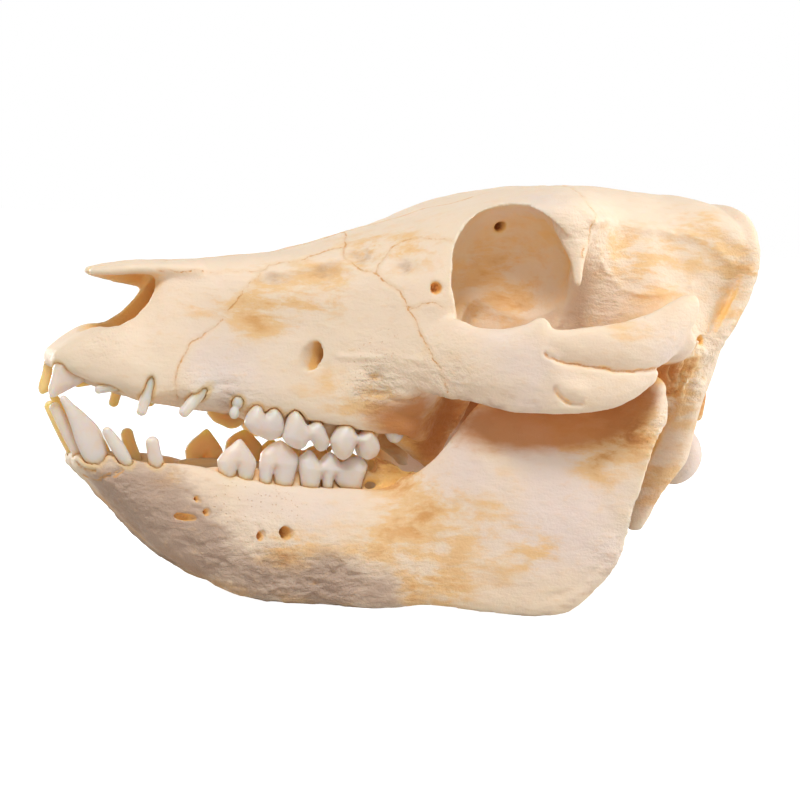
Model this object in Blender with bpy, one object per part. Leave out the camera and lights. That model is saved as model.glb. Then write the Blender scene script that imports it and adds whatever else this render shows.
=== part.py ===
"""Skull of a young domestic pig: cranium, jawbone and milk teeth, each its own solid.

Sizes are written in millimetres and turned to metres as each mesh is made.
+X runs from the snout to the back of the head, +Z is up, and Y = 0 is the midline.
The jawbone's lower edge rests on Z = 0.
"""

import math

import bmesh
import bpy
import numpy as np

MM = 0.001
# The forms below are set out from -95.4 to 97.8 along X; their middle is moved to X = 0.
CENTRE_X = 1.2
SIDES = {"left": -1, "right": 1}

VOXEL = 1.1
CRANIUM_TRIANGLES = 2500
JAW_TRIANGLES = 1050
SOCKET_GAP = 0.4
CRYPT_GAP = 1.2

BONE = ((0.86, 0.74, 0.60), 0.62)
ENAMEL = ((0.90, 0.84, 0.76), 0.30)

# Half rings of the cranium at each x, from the palate's midline round the side to the top: (ys, zs).
CRANIUM_RINGS = {
    -95.5: ((0, 2.5, 4.2, 5, 5, 4.6, 3.6, 2, 0), (59.2, 58.8, 59, 60, 61, 62, 62.8, 63, 62.8)),
    -92: ((0, 5, 8.6, 9.8, 9.9, 9.4, 7.8, 4.5, 0), (58, 57.6, 58.2, 59.8, 61.8, 64, 66, 66.9, 66.6)),
    -86: ((0, 7, 11.8, 12.9, 12.7, 11.6, 9.2, 5.2, 0), (57, 55.6, 56, 58.5, 61.5, 65.6, 69, 70.4, 70)),
    -80: ((0, 8.5, 13.6, 14.8, 14.4, 12.4, 8.8, 5.4, 0), (56, 53.4, 55, 58, 62.5, 66.8, 70.6, 71.6, 71.6)),
    -75: ((0, 9, 14.4, 15.6, 14.8, 12.4, 8.6, 5.4, 0), (54.5, 51.8, 54, 57.6, 63, 68.8, 74, 75, 75)),
    -71: ((0, 9.5, 15, 16.4, 15.2, 12.8, 8.8, 5.8, 0), (54, 51, 53.2, 57, 64, 71.5, 78, 79.5, 79.5)),
    -67: ((0, 9.5, 15, 16.8, 15.6, 13.4, 10.4, 7, 0), (53.5, 50.6, 53, 57, 64.5, 73, 81, 86, 88.2)),
    -58: ((0, 10, 15.6, 17.5, 15.8, 14.2, 12.2, 8.5, 0), (53, 49.8, 52.6, 56.5, 64.5, 73, 82, 88, 89.9)),
    -48: ((0, 10.8, 15.8, 17.8, 16.6, 15.4, 13.8, 9, 0), (52.5, 49.2, 51, 55.5, 64, 74, 84, 89.6, 91.2)),
    -36: ((0, 12, 18, 19.8, 18.6, 16.8, 15, 10, 0), (53.5, 49.6, 49.8, 55, 64, 74, 84, 90.8, 93)),
    -24: ((0, 13.5, 21, 22.4, 20.5, 19.5, 17.5, 12, 0), (55, 49.4, 48.6, 54.5, 63, 74, 85, 93.6, 96.6)),
    -12: ((0, 14.5, 22.5, 24.8, 26, 25, 22.5, 15, 0), (55, 48.5, 47.4, 54, 62, 75, 88, 97.4, 100.6)),
    -2: ((0, 14, 22.4, 25.6, 31, 31, 28.5, 18.5, 0), (54.5, 47.5, 46, 53, 63, 77, 90, 100.8, 104)),
    7: ((0, 13, 17, 20, 27, 31, 32, 22.5, 0), (53, 46.5, 46, 54, 64, 79, 94.5, 105, 107.4)),
    16: ((0, 8, 12.5, 14, 14, 14.6, 31, 26, 0), (64, 62, 60, 64, 71, 84, 101, 108.6, 110)),
    26: ((0, 8, 12, 13.5, 14, 14.6, 31.5, 27.5, 0), (62, 60, 59, 64, 72, 85, 102.5, 111, 113)),
    36: ((0, 8, 13, 16, 17.5, 19.5, 33, 29, 0), (59, 57, 57, 63, 72, 86, 101, 112.5, 115)),
    44: ((0, 8, 14, 19, 22, 23.5, 31, 27, 0), (56, 54, 55, 62, 73, 86, 101, 112.5, 116)),
    54: ((0, 8, 16, 24, 27, 27.5, 25.5, 19.5, 0), (52, 50, 53, 61, 73, 86, 99, 111, 116.4)),
    64: ((0, 8, 17, 27, 30.5, 29, 25.5, 18.5, 0), (48, 46.5, 50.5, 62, 74, 87, 99, 110, 116.4)),
    74: ((0, 8, 18, 28, 31, 27.5, 24, 18, 0), (44, 43, 48, 62, 74, 87, 99, 110, 116)),
    84: ((0, 7, 15, 25, 26.5, 25, 24.5, 20, 0), (41, 41, 46, 60, 74, 88, 100, 110.5, 115.6)),
    91: ((0, 7, 13, 17, 19.5, 23, 25.5, 21.5, 0), (54, 55, 59, 66, 76, 88, 99, 109, 113.8)),
    94: ((0, 5, 9, 12, 16, 21, 24.5, 20, 0), (66, 66, 69, 75, 83, 91, 99, 106.5, 110)),
}

# One side of the jawbone at each x, the same way: top, three points down the outer face, bottom,
# three up the inner face.
JAW_RINGS = {
    -91: ((2.5, 5, 6.4, 6.2, 3.5, -1, -1, -1), (39.4, 39, 37.6, 35.8, 34.6, 34.8, 36.5, 39)),
    -86: ((4, 7.5, 9.6, 8.8, 4.5, -1, -1, -1), (37.8, 37.2, 34.5, 32.4, 31, 31.4, 33.5, 37)),
    -80: ((5.5, 10, 12.2, 10.4, 4.5, -1, -1, -1), (36.8, 36.4, 31.6, 27.6, 25, 25.4, 29, 34)),
    -72: ((9, 13, 14.6, 12.4, 6.5, -1, -1, -1), (35, 34.6, 27, 20.6, 17.6, 18.4, 21.4, 28)),
    -64: ((12, 15.2, 16.8, 14.8, 9.5, -1, -1, -1), (35, 33.8, 23.6, 14.8, 11, 12.2, 16, 24)),
    -56: ((14, 17.4, 19.2, 17.6, 12.6, 8, 7.5, 9), (34.5, 32.2, 20.8, 9.6, 5.4, 7.6, 14, 27)),
    -47: ((15.2, 19, 21.4, 20.2, 16.6, 12.5, 11.5, 11.5), (32.8, 30.4, 18.4, 5.4, 1.1, 4, 15, 28)),
    -36: ((16.2, 20.4, 23.6, 23.4, 20.2, 16, 14, 12.6), (31.4, 29.2, 17.2, 4.2, -1, 4, 15, 27.6)),
    -18: ((17.5, 22.5, 27, 27.5, 25, 21.5, 18, 14), (31.3, 29, 17, 4.6, -0.7, 4.6, 16, 28)),
    -6: ((19, 24.5, 29.5, 30, 28, 25, 21, 15.5), (32.5, 30, 18, 4.8, 0.1, 4.8, 17, 29)),
    4: ((24, 28, 32, 32.3, 30.5, 28, 25, 19), (36.5, 32, 19, 5.8, 1.6, 5.8, 18, 31)),
    14: ((31, 33.5, 34.3, 34, 32.5, 30.5, 29, 28), (50, 42, 25, 6.6, 1, 6.2, 22, 40)),
    25: ((33, 34.5, 36, 35.6, 34, 32.3, 31.5, 31.5), (63, 52, 30, 6, -0.9, 5.6, 28, 50)),
    36: ((33.5, 35, 37.3, 37.2, 35.5, 33.8, 33, 32.5), (73.5, 60, 32, 6, -1.3, 5.6, 30, 58)),
    43: ((33.5, 35.2, 38, 38.3, 37, 35.3, 34, 32.3), (75.5, 62, 34, 8.5, 1.6, 8, 32, 60)),
    50: ((33.5, 36, 38.5, 39, 38, 36.5, 35, 32), (68, 58, 36, 14, 7.4, 13.5, 32, 58)),
    56: ((34, 37.6, 39.3, 39.6, 39, 37.3, 35.8, 31.4), (64.5, 58, 40, 23, 15.4, 22, 38, 58)),
    60: ((34.6, 39, 40, 40, 39.5, 38, 36, 30.4), (65, 60, 46, 36, 29.5, 35, 45, 59)),
    64: ((35.4, 39.5, 40.3, 40.2, 39.2, 37.2, 34, 30.8), (64.5, 60.5, 54, 49.5, 46.4, 49, 54, 60)),
    68: ((36.2, 38.5, 39, 38.6, 37.6, 35.4, 34, 34), (61, 59.5, 57, 54.8, 53.8, 55, 57, 59.5)),
}
# Rods and plates by rows of (x, y, z, half width, half height), for one side of the skull.
CHEEK_ARCH = [
    (-16, 19, 64, 2, 2.6), (-7, 25.4, 65.6, 3, 6), (3, 32.8, 68.2, 4.8, 10.6), (10, 37.4, 67, 4.6, 10.4),
    (15.5, 40.6, 66.5, 4, 10.9), (21, 42.8, 66.8, 3.4, 12), (26, 43.8, 68, 3, 13.2),
    (29, 44.3, 66.6, 2.8, 11.6), (32, 44.6, 63, 2.8, 7.9), (39, 45, 62.9, 2.7, 7), (47, 44.8, 63.2, 2.5, 5.8),
    (55, 43.8, 65.3, 2.3, 3.9), (60.6, 42.7, 67.6, 1.8, 2),
]
ARCH_REAR = [
    (28.4, 44.7, 74.2, 2.3, 3.9), (37, 45.3, 74, 2.7, 4.7), (46, 45.4, 74.6, 2.9, 5.9), (55, 44.5, 76, 3, 7.5),
    (62, 43.1, 78.3, 3.1, 8.3), (67, 41.7, 81.6, 3, 7.4), (70.6, 40.6, 84.6, 2.7, 5), (72.8, 40, 85.6, 2.1, 2.6),
]
ARCH_ROOT = [(66, 24, 72, 9, 6), (66.5, 31, 73, 8, 4.2), (66.5, 37, 74.5, 7, 4.2), (66.5, 42, 77, 6, 4)]
NUCHAL_CREST = [
    (92, 0, 111.5, 3.2, 3.2), (93.4, 10, 110.8, 3.2, 3.2), (94.6, 18, 107.8, 3.1, 3.1),
    (95, 23.5, 102, 3, 3), (94.6, 25, 95.5, 2.9, 2.9), (91.6, 25.5, 86.5, 2.9, 2.9),
    (86.5, 26.2, 77.5, 3, 3), (80.5, 26.5, 69.5, 3.2, 3.2),
]
JUGULAR_PROCESS = [
    (78.5, 25, 66, 6, 3.4), (79.4, 23.6, 57, 4.4, 3), (78.4, 22.4, 49, 4.2, 2.6), (73.6, 21.4, 39, 4.6, 2.4),
    (70.4, 20.6, 30, 3.6, 2), (68.4, 20, 23, 2.2, 1.6),
]
TYMPANIC_BULLA = [
    (62, 19, 58, 6, 5), (63, 18.4, 49, 6.5, 5.4), (64, 17.6, 41, 5, 4.4), (64.4, 17, 35.4, 2.4, 2.2),
]
EAR_TUBE = [(68, 24, 62, 4, 4), (72, 28.5, 70, 3.4, 3.4), (74.6, 32.4, 77, 3.2, 3.2)]
PTERYGOID_PLATE = [
    (10, 14, 61, 11, 3), (6, 14.2, 53, 12, 3), (4, 14, 46.4, 10, 2.6), (6.4, 13.2, 41.4, 5.4, 2),
    (9, 12.4, 38, 2.6, 1.5), (10.6, 12, 35.4, 1.3, 1.1),
]
NUCHAL_KNOB = [
    (91.5, 4.6, 72, 2.6, 3), (93, 4.4, 63, 2.2, 2.6), (93.4, 4.2, 56, 2, 2.2), (93.4, 4.2, 52.6, 1.4, 1.6),
]
BROW_SPUR = [
    (37.6, 28, 108.4, 3.4, 5.6), (38.8, 30.6, 103.4, 2.9, 3.7), (38.9, 32.6, 98, 2.3, 2.4),
    (38.5, 33.8, 93.4, 1.7, 1.5), (38.2, 34.3, 89.4, 1.1, 1),
]
NOSE_BONE = [
    (-87.8, 2.2, 84.8, 1.9, 1.2), (-84.5, 3.2, 85.2, 3, 1.4), (-80, 4, 85.9, 3.9, 1.5),
    (-74, 4.4, 86.6, 4.6, 1.7), (-67, 4.8, 86.8, 5.6, 2.1), (-58, 5.2, 86.8, 6, 3),
]

# The hollows: passages along the midline as (x, half width, floor, roof), and blobs as (centre, radii).
NOSE_CAVITY = [
    (-103, 6.4, 61, 84), (-92, 7, 61, 83), (-84, 7.4, 60.8, 83), (-76, 7.6, 60.6, 83.4),
    (-68, 8.2, 60.4, 84.2), (-56, 9.2, 60.4, 85.6), (-40, 9.5, 60.4, 87.6), (-26, 8, 61, 88),
    (-14, 5, 63, 84),
]
NECK_CANAL = [(98, 7.4, 38.6, 50.5), (88, 7.4, 41.5, 53), (80, 7, 46, 60), (74, 5, 54, 66)]
THROAT_PASSAGE = [
    (34, 6, 45, 58.5), (20, 7.5, 50, 62), (8, 7.5, 55, 63), (-4, 7, 58.5, 64), (-14, 5, 60, 66),
]
EYE_SOCKET = ((23.4, 27, 90), (19.4, 15.5, 20.4))
JAW_SOCKET = ((62.5, 33.6, 63.4), (6.6, 9, 5.4))
TEAR_HOLE = ((0.8, 30, 86.6), (1.4, 4.5, 1.5))
PALATE_SLIT = ((-76, 4, 56), (6, 1.8, 7))
CHEEK_HOLE = [
    (-42, 23.4, 66.6, 3, 2.2), (-35, 21, 66.4, 3, 3.2), (-28.8, 18.6, 66.2, 2.9, 4), (-22, 15, 66.6, 2.5, 3.4),
    (-16, 12, 67, 2, 3),
]
CHIN_HOLE = ((-32.7, 25.5, 18.6), (1.5, 4, 1.6))

# Single-rooted milk teeth, from the root's end to the tip as (x, y, z, half width, half depth).
PEG_TEETH = {
    "upper_incisor_1": [
        (-85, 7.4, 65.4, 1.2, 1.4), (-90.2, 6, 60.4, 2.8, 1.8), (-92.6, 5.2, 56, 2.6, 1.7),
        (-94.8, 4.4, 51.4, 0.9, 0.8),
    ],
    "upper_incisor_2": [
        (-75.5, 9.6, 57.8, 1, 1), (-79, 10.4, 56.6, 1.3, 1.2), (-82.6, 10.8, 55.2, 1.3, 1.1),
        (-86.1, 10.6, 54, 0.8, 0.7),
    ],
    "upper_incisor_3": [
        (-70.6, 12.6, 63, 1, 1), (-71.8, 13.2, 57.4, 1.4, 1.4), (-72.9, 13.5, 52.4, 1.4, 1.4),
        (-73.9, 13.6, 48.2, 1.1, 1.1),
    ],
    "upper_canine": [
        (-54, 13.6, 59.6, 1.1, 1.1), (-57.6, 15.4, 55.6, 1.6, 1.6), (-60.8, 16.4, 52, 1.6, 1.6),
        (-63.2, 17, 49.2, 1.2, 1.2),
    ],
    "lower_incisor_1": [
        (-82.6, 3.2, 26, 1, 1.1), (-87.8, 3.1, 35, 1.5, 1.5), (-91.7, 3, 42.4, 1.5, 1.4),
        (-95.1, 2.9, 49, 1, 0.8),
    ],
    "lower_incisor_2": [
        (-78, 7.4, 28, 1.3, 1.3), (-83.4, 7.8, 36.4, 3, 1.8), (-87.4, 7, 43.6, 3, 1.6),
        (-93, 5.6, 50.8, 1, 0.8),
    ],
    "lower_incisor_3": [
        (-74.4, 10.6, 30.4, 0.9, 0.9), (-77.4, 10.8, 36.4, 1.5, 1.3), (-80, 10.4, 40, 1.5, 1.2),
        (-82.2, 10, 43.2, 1, 0.9),
    ],
    "lower_canine": [
        (-65.6, 12.6, 28, 1.3, 1.2), (-67, 12.9, 34.2, 1.8, 1.7), (-68.6, 13, 38.4, 1.7, 1.6),
        (-70, 13, 42.4, 1.3, 1.3),
    ],
}

# Cheek teeth are clusters of egg-shaped lobes: (x, y, z) and (half length, half width, half height) each.
CHEEK_TEETH = {
    "upper_premolar_1": [
        ((-48.2, 16, 53.2), (1.7, 1.5, 2)), ((-48.8, 16.4, 50.6), (1.5, 1.4, 2)),
        ((-47.8, 14.8, 55.6), (1.2, 1, 2.8)),
    ],
    "upper_premolar_2": [
        ((-43.1, 17.4, 48), (2.8, 2.4, 4.2)), ((-38.2, 17.8, 47.6), (2.6, 2.5, 4)),
        ((-40.6, 17.6, 46.4), (2.9, 2.2, 3.1)), ((-40.6, 15.6, 51.8), (3.2, 1.8, 3.6)),
    ],
    "upper_premolar_3": [
        ((-31.8, 18.6, 46.4), (3.3, 3, 5)), ((-25.7, 19.2, 45), (3, 3.3, 3.9)),
        ((-28.6, 17, 50.4), (4, 2, 4)),
    ],
    "upper_premolar_4": [
        ((-18.4, 20.2, 44), (3.4, 3.8, 4.7)), ((-11.8, 20.4, 43.2), (3.2, 3.8, 3.9)),
        ((-15.2, 18.4, 48.6), (4.4, 2.4, 4.4)),
    ],
    "upper_molar_1": [((-3.6, 19.6, 47.4), (2.6, 2.3, 2.6))],
    "lower_premolar_2": [
        ((-46.6, 15.4, 38.4), (3.4, 2.2, 4.3)), ((-50.1, 15.2, 36.2), (2.1, 2, 3.6)),
        ((-43.4, 15.6, 36.4), (1.8, 2.1, 3.6)), ((-46.6, 15.4, 31), (3.4, 1.5, 4.2)),
    ],
    "lower_premolar_3": [
        ((-35.8, 16.2, 38), (3.6, 2.4, 4.4)), ((-39, 16.2, 36), (2.1, 2.2, 3.9)),
        ((-32.7, 16.2, 36), (2.2, 2.3, 3.9)), ((-35.8, 16.2, 29.6), (3.6, 1.6, 4.2)),
    ],
    "lower_premolar_4": [
        ((-27.3, 16.4, 36), (2.5, 2.5, 4.6)), ((-21.7, 16.6, 35.6), (2.6, 2.6, 4.4)),
        ((-14.8, 17.2, 34.6), (3.9, 2.9, 4.2)), ((-20.8, 17, 29), (6.4, 2, 4.2)),
    ],
    "lower_molar_1": [((4.6, 19.4, 34.4), (2.8, 2.2, 2.4))],
}
LOBE_BLEND = 9


def curve_rows(rows, at, closed=False):
    """Rows read at fractional row numbers along a smooth curve through them."""
    count = len(rows)
    first = np.floor(at).astype(int)
    share = (at - first).reshape((-1,) + (1,) * (rows.ndim - 1))
    near = [first + k for k in (-1, 0, 1, 2)]
    near = [k % count if closed else np.clip(k, 0, count - 1) for k in near]
    a, b, c, d = (rows[k] for k in near)
    return b + share / 2 * (c - a + share * (2 * a - 5 * b + 4 * c - d + share * (3 * (b - c) + d - a)))


def add_skin(bm, cage, around, along):
    """A closed skin over a cage of rings: a ball whose circles are laid on the cage's smooth surface."""
    cage = np.array(cage, float)
    made = bmesh.ops.create_uvsphere(bm, u_segments=around, v_segments=along, radius=1)["verts"]
    rows, ring_points = cage.shape[:2]
    for vert in made:
        down = math.acos(max(-1, min(1, vert.co.z))) / math.pi
        turn = math.atan2(vert.co.y, vert.co.x) / math.tau % 1
        ring = curve_rows(cage, np.array([down * (rows - 1)]))[0]
        if min(down, 1 - down) < 0.1 / along:
            vert.co = ring.mean(axis=0)
        else:
            vert.co = curve_rows(ring, np.array([turn * ring_points % ring_points]), closed=True)[0]
    faces = list({face for vert in made for face in vert.link_faces})
    bmesh.ops.recalc_face_normals(bm, faces=faces)
    return made


def ring_of(centre, wide, tall, half_wide, half_tall, points=12):
    """An oval ring of points about a centre, in the plane of two directions."""
    angles = [math.tau * k / points for k in range(points)]
    centre, wide, tall = np.array(centre, float), np.array(wide, float), np.array(tall, float)
    return [centre + wide * half_wide * math.cos(a) + tall * half_tall * math.sin(a) for a in angles]


def add_rod(bm, rows, wide, tall, around=12, along=None):
    cage = [ring_of(row[:3], wide, tall, row[3], row[4]) for row in rows]
    return add_skin(bm, cage, around, along or 3 * len(rows))


def add_blob(bm, centre, radii, around=20, along=12):
    made = bmesh.ops.create_uvsphere(bm, u_segments=around, v_segments=along, radius=1)["verts"]
    bmesh.ops.scale(bm, vec=radii, verts=made)
    bmesh.ops.translate(bm, vec=centre, verts=made)
    return made


def add_duct(bm, rows, around=16):
    """A passage along X through the midline, from (x, half width, floor, roof)."""
    cage = [
        ring_of((x, 0, (floor + roof) / 2), (0, 1, 0), (0, 0, 1), half_wide, (roof - floor) / 2)
        for x, half_wide, floor, roof in rows
    ]
    return add_skin(bm, cage, around, 3 * len(rows))


def add_other_side(bm):
    """Copies all that is in the mesh to the other side of the midline."""
    copied = bmesh.ops.duplicate(bm, geom=bm.verts[:] + bm.edges[:] + bm.faces[:])["geom"]
    verts = [part for part in copied if isinstance(part, bmesh.types.BMVert)]
    faces = [part for part in copied if isinstance(part, bmesh.types.BMFace)]
    bmesh.ops.scale(bm, vec=(1, -1, 1), verts=verts)
    bmesh.ops.reverse_faces(bm, faces=faces)


def make_object(name, bm, helper=False):
    bmesh.ops.translate(bm, vec=(-CENTRE_X, 0, 0), verts=bm.verts[:])
    bmesh.ops.scale(bm, vec=(MM, MM, MM), verts=bm.verts[:])
    mesh = bpy.data.meshes.new(name)
    bm.to_mesh(mesh)
    bm.free()
    obj = bpy.data.objects.new(name, mesh)
    bpy.context.scene.collection.objects.link(obj)
    obj.hide_render = helper
    obj.display_type = "WIRE" if helper else "TEXTURED"
    return obj


def settle(obj):
    """Makes the shape that the modifiers give the object's own mesh."""
    bpy.context.view_layer.update()
    shown = obj.evaluated_get(bpy.context.evaluated_depsgraph_get())
    mesh = bpy.data.meshes.new_from_object(shown)
    obj.modifiers.clear()
    obj.data = mesh


def fuse(obj, voxel=VOXEL, smooth=3):
    """Grows the overlapping forms into one skin, and softens their joins."""
    remesh = obj.modifiers.new("fuse", "REMESH")
    remesh.mode = "VOXEL"
    remesh.voxel_size = voxel * MM
    soften = obj.modifiers.new("soften", "SMOOTH")
    soften.factor = 0.5
    soften.iterations = smooth
    settle(obj)


def cut(obj, cutter):
    boolean = obj.modifiers.new("cut", "BOOLEAN")
    boolean.operation = "DIFFERENCE"
    boolean.solver = "EXACT"
    boolean.object = cutter
    settle(obj)
    bpy.data.objects.remove(cutter)


def thin_out(obj, triangles):
    decimate = obj.modifiers.new("fewer faces", "DECIMATE")
    obj.data.calc_loop_triangles()
    decimate.ratio = min(1, triangles / len(obj.data.loop_triangles))
    decimate.use_collapse_triangulate = True
    settle(obj)


def cranium_forms():
    bm = bmesh.new()
    for row in (CHEEK_ARCH, ARCH_REAR):
        add_rod(bm, row, (0, 1, 0), (0, 0, 1))
    add_rod(bm, ARCH_ROOT, (1, 0, 0), (0, 0, 1))
    add_rod(bm, NUCHAL_CREST, (1, 0, 0.1), (0, 0.5, 0.87))
    for row in (JUGULAR_PROCESS, TYMPANIC_BULLA, EAR_TUBE, PTERYGOID_PLATE, NUCHAL_KNOB):
        add_rod(bm, row, (1, 0, 0), (0, 1, 0))
    add_rod(bm, BROW_SPUR, (0, 1, 0), (1, 0, 0))
    add_rod(bm, NOSE_BONE, (0, 1, 0), (0, 0, 1))
    add_blob(bm, (82.5, 11, 43.4), (7.8, 6.4, 8.6))
    add_other_side(bm)
    cage = [
        [(x, y, z) for y, z in zip(ys, zs)] + [(x, -y, z) for y, z in zip(ys[-2:0:-1], zs[-2:0:-1])]
        for x, (ys, zs) in CRANIUM_RINGS.items()
    ]
    add_skin(bm, cage, around=48, along=90)
    return bm


def cranium_hollows():
    bm = bmesh.new()
    for centre, radii in (EYE_SOCKET, JAW_SOCKET, TEAR_HOLE, PALATE_SLIT):
        add_blob(bm, centre, radii)
    add_rod(bm, CHEEK_HOLE, (1, 0, 0), (0, 0, 1))
    add_other_side(bm)
    for rows in (NOSE_CAVITY, NECK_CANAL, THROAT_PASSAGE):
        add_duct(bm, rows)
    return bm


def jaw_forms():
    bm = bmesh.new()
    cage = [[(x, y, z) for y, z in zip(ys, zs)] for x, (ys, zs) in JAW_RINGS.items()]
    add_skin(bm, cage, around=24, along=80)
    add_blob(bm, (63, 33, 62.8), (4.4, 6.8, 3.8))
    add_blob(bm, (3.5, 19.8, 31.2), (9.6, 6.2, 7))
    add_other_side(bm)
    return bm


def add_lobes(bm, lobes, around, along):
    """A tooth as a ball whose points are pushed out to the outside of a cluster of eggs."""
    centres, radii = (np.array([lobe[k] for lobe in lobes], float) for k in (0, 1))
    middle = centres.mean(axis=0)
    made = bmesh.ops.create_uvsphere(bm, u_segments=around, v_segments=along, radius=1)["verts"]
    for vert in made:
        way = np.array(vert.co.normalized())
        a = ((way / radii) ** 2).sum(axis=1)
        b = (way * (centres - middle) / radii**2).sum(axis=1)
        c = (((centres - middle) / radii) ** 2).sum(axis=1) - 1
        inside = b * b - a * c
        reach = (b + np.sqrt(np.maximum(inside, 0))) / a
        reach = np.where(inside > 0, np.maximum(reach, 0.01), 0.01)
        vert.co = middle + way * (reach**LOBE_BLEND).sum() ** (1 / LOBE_BLEND)


def tooth_mesh(name, side, socket=False):
    """One tooth, or the same shape a little larger all round, to cut its socket."""
    bm = bmesh.new()
    unerupted = len(CHEEK_TEETH.get(name, ())) == 1
    if name in PEG_TEETH:
        add_rod(bm, PEG_TEETH[name], (1, 0, 0), (0, 1, 0), around=6, along=6)
    elif unerupted:
        add_blob(bm, *CHEEK_TEETH[name][0], around=8, along=5)
    else:
        add_lobes(bm, CHEEK_TEETH[name], around=12, along=7)
    bmesh.ops.scale(bm, vec=(1, SIDES[side], 1), verts=bm.verts[:])
    bmesh.ops.triangulate(bm, faces=bm.faces[:])
    bmesh.ops.recalc_face_normals(bm, faces=bm.faces[:])
    if socket:
        bm.normal_update()
        gap = CRYPT_GAP if unerupted else SOCKET_GAP
        outward = [vert.normal * min(vert.calc_shell_factor(), 1.8) * gap for vert in bm.verts]
        for vert, step in zip(bm.verts, outward):
            vert.co += step
    return bm


def paint(obj, name, look):
    material = bpy.data.materials.new(name)
    material.use_nodes = True
    shader = material.node_tree.nodes["Principled BSDF"]
    shader.inputs["Base Color"].default_value = (*look[0], 1)
    shader.inputs["Roughness"].default_value = look[1]
    obj.data.materials.clear()
    obj.data.materials.append(material)


def cut_sockets(bone, jaw):
    """Leaves a gap round every tooth of one jaw."""
    for name in [*PEG_TEETH, *CHEEK_TEETH]:
        if name.startswith(jaw):
            for side in SIDES:
                cut(bone, make_object("socket", tooth_mesh(name, side, socket=True), helper=True))


def build_cranium():
    cranium = make_object("cranium", cranium_forms())
    fuse(cranium)
    hollows = make_object("hollows", cranium_hollows(), helper=True)
    fuse(hollows, smooth=1)
    cut(cranium, hollows)
    fuse(cranium, smooth=2)
    thin_out(cranium, CRANIUM_TRIANGLES)
    cut_sockets(cranium, "upper")
    paint(cranium, "cranium bone", BONE)


def build_jaw():
    """The jawbone, with small flats where its lower edge stands on the floor."""
    jaw = make_object("mandible", jaw_forms())
    fuse(jaw)
    thin_out(jaw, JAW_TRIANGLES)
    cut_sockets(jaw, "lower")
    bm = bmesh.new()
    x, y, z = CHIN_HOLE[0]
    for sign in SIDES.values():
        add_blob(bm, (x, y * sign, z), CHIN_HOLE[1], around=8, along=5)
    cut(jaw, make_object("chin holes", bm, helper=True))
    bm = bmesh.new()
    bmesh.ops.create_cube(bm, size=1)
    bmesh.ops.scale(bm, vec=(260, 120, 20), verts=bm.verts[:])
    bmesh.ops.translate(bm, vec=(0, 0, -10), verts=bm.verts[:])
    cut(jaw, make_object("floor", bm, helper=True))
    paint(jaw, "mandible bone", BONE)


def main():
    for obj in list(bpy.data.objects):
        bpy.data.objects.remove(obj)
    build_cranium()
    build_jaw()
    for name in [*PEG_TEETH, *CHEEK_TEETH]:
        for side in SIDES:
            tooth = make_object(f"{name}_{side}", tooth_mesh(name, side))
            paint(tooth, f"{name} {side} enamel".replace("_", " "), ENAMEL)


main()
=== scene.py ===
import math

import bmesh
import bpy
import numpy as np
from mathutils import Matrix, Vector, kdtree
from mathutils.bvhtree import BVHTree


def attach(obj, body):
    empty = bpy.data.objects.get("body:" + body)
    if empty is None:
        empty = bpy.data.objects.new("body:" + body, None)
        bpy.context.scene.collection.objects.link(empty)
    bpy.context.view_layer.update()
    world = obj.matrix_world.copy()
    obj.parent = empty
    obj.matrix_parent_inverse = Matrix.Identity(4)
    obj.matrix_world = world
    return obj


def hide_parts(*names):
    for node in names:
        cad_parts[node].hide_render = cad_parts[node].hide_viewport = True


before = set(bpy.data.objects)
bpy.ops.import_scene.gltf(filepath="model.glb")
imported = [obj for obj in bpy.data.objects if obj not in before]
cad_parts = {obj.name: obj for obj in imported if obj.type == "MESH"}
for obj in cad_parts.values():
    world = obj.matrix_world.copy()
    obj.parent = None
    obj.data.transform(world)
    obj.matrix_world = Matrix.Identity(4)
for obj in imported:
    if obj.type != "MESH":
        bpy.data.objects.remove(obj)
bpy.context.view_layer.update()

# Everything is set out in millimetres, with the snout towards -X and the left side towards -Y.
# It is turned into metres and centred along X when a piece is finished.
mm = 0.001
middleX = 1.2


# Small helpers for shapes

def curveWeights(share):
    return 0.5 * np.stack([
        -share**3 + 2 * share**2 - share,
        3 * share**3 - 5 * share**2 + 2,
        -3 * share**3 + 4 * share**2 + share,
        share**3 - share**2,
    ], axis=-1)


def smoothPath(rows, steps, share=None):
    rows = np.array(rows, float)
    at = np.linspace(0, 1, steps) if share is None else share
    at = at * (len(rows) - 1)
    first = np.minimum(np.floor(at).astype(int), len(rows) - 2)
    near = np.clip(first[:, None] + np.arange(-1, 3), 0, len(rows) - 1)
    return np.einsum("na,nac->nc", curveWeights(at - first), rows[near])


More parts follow.
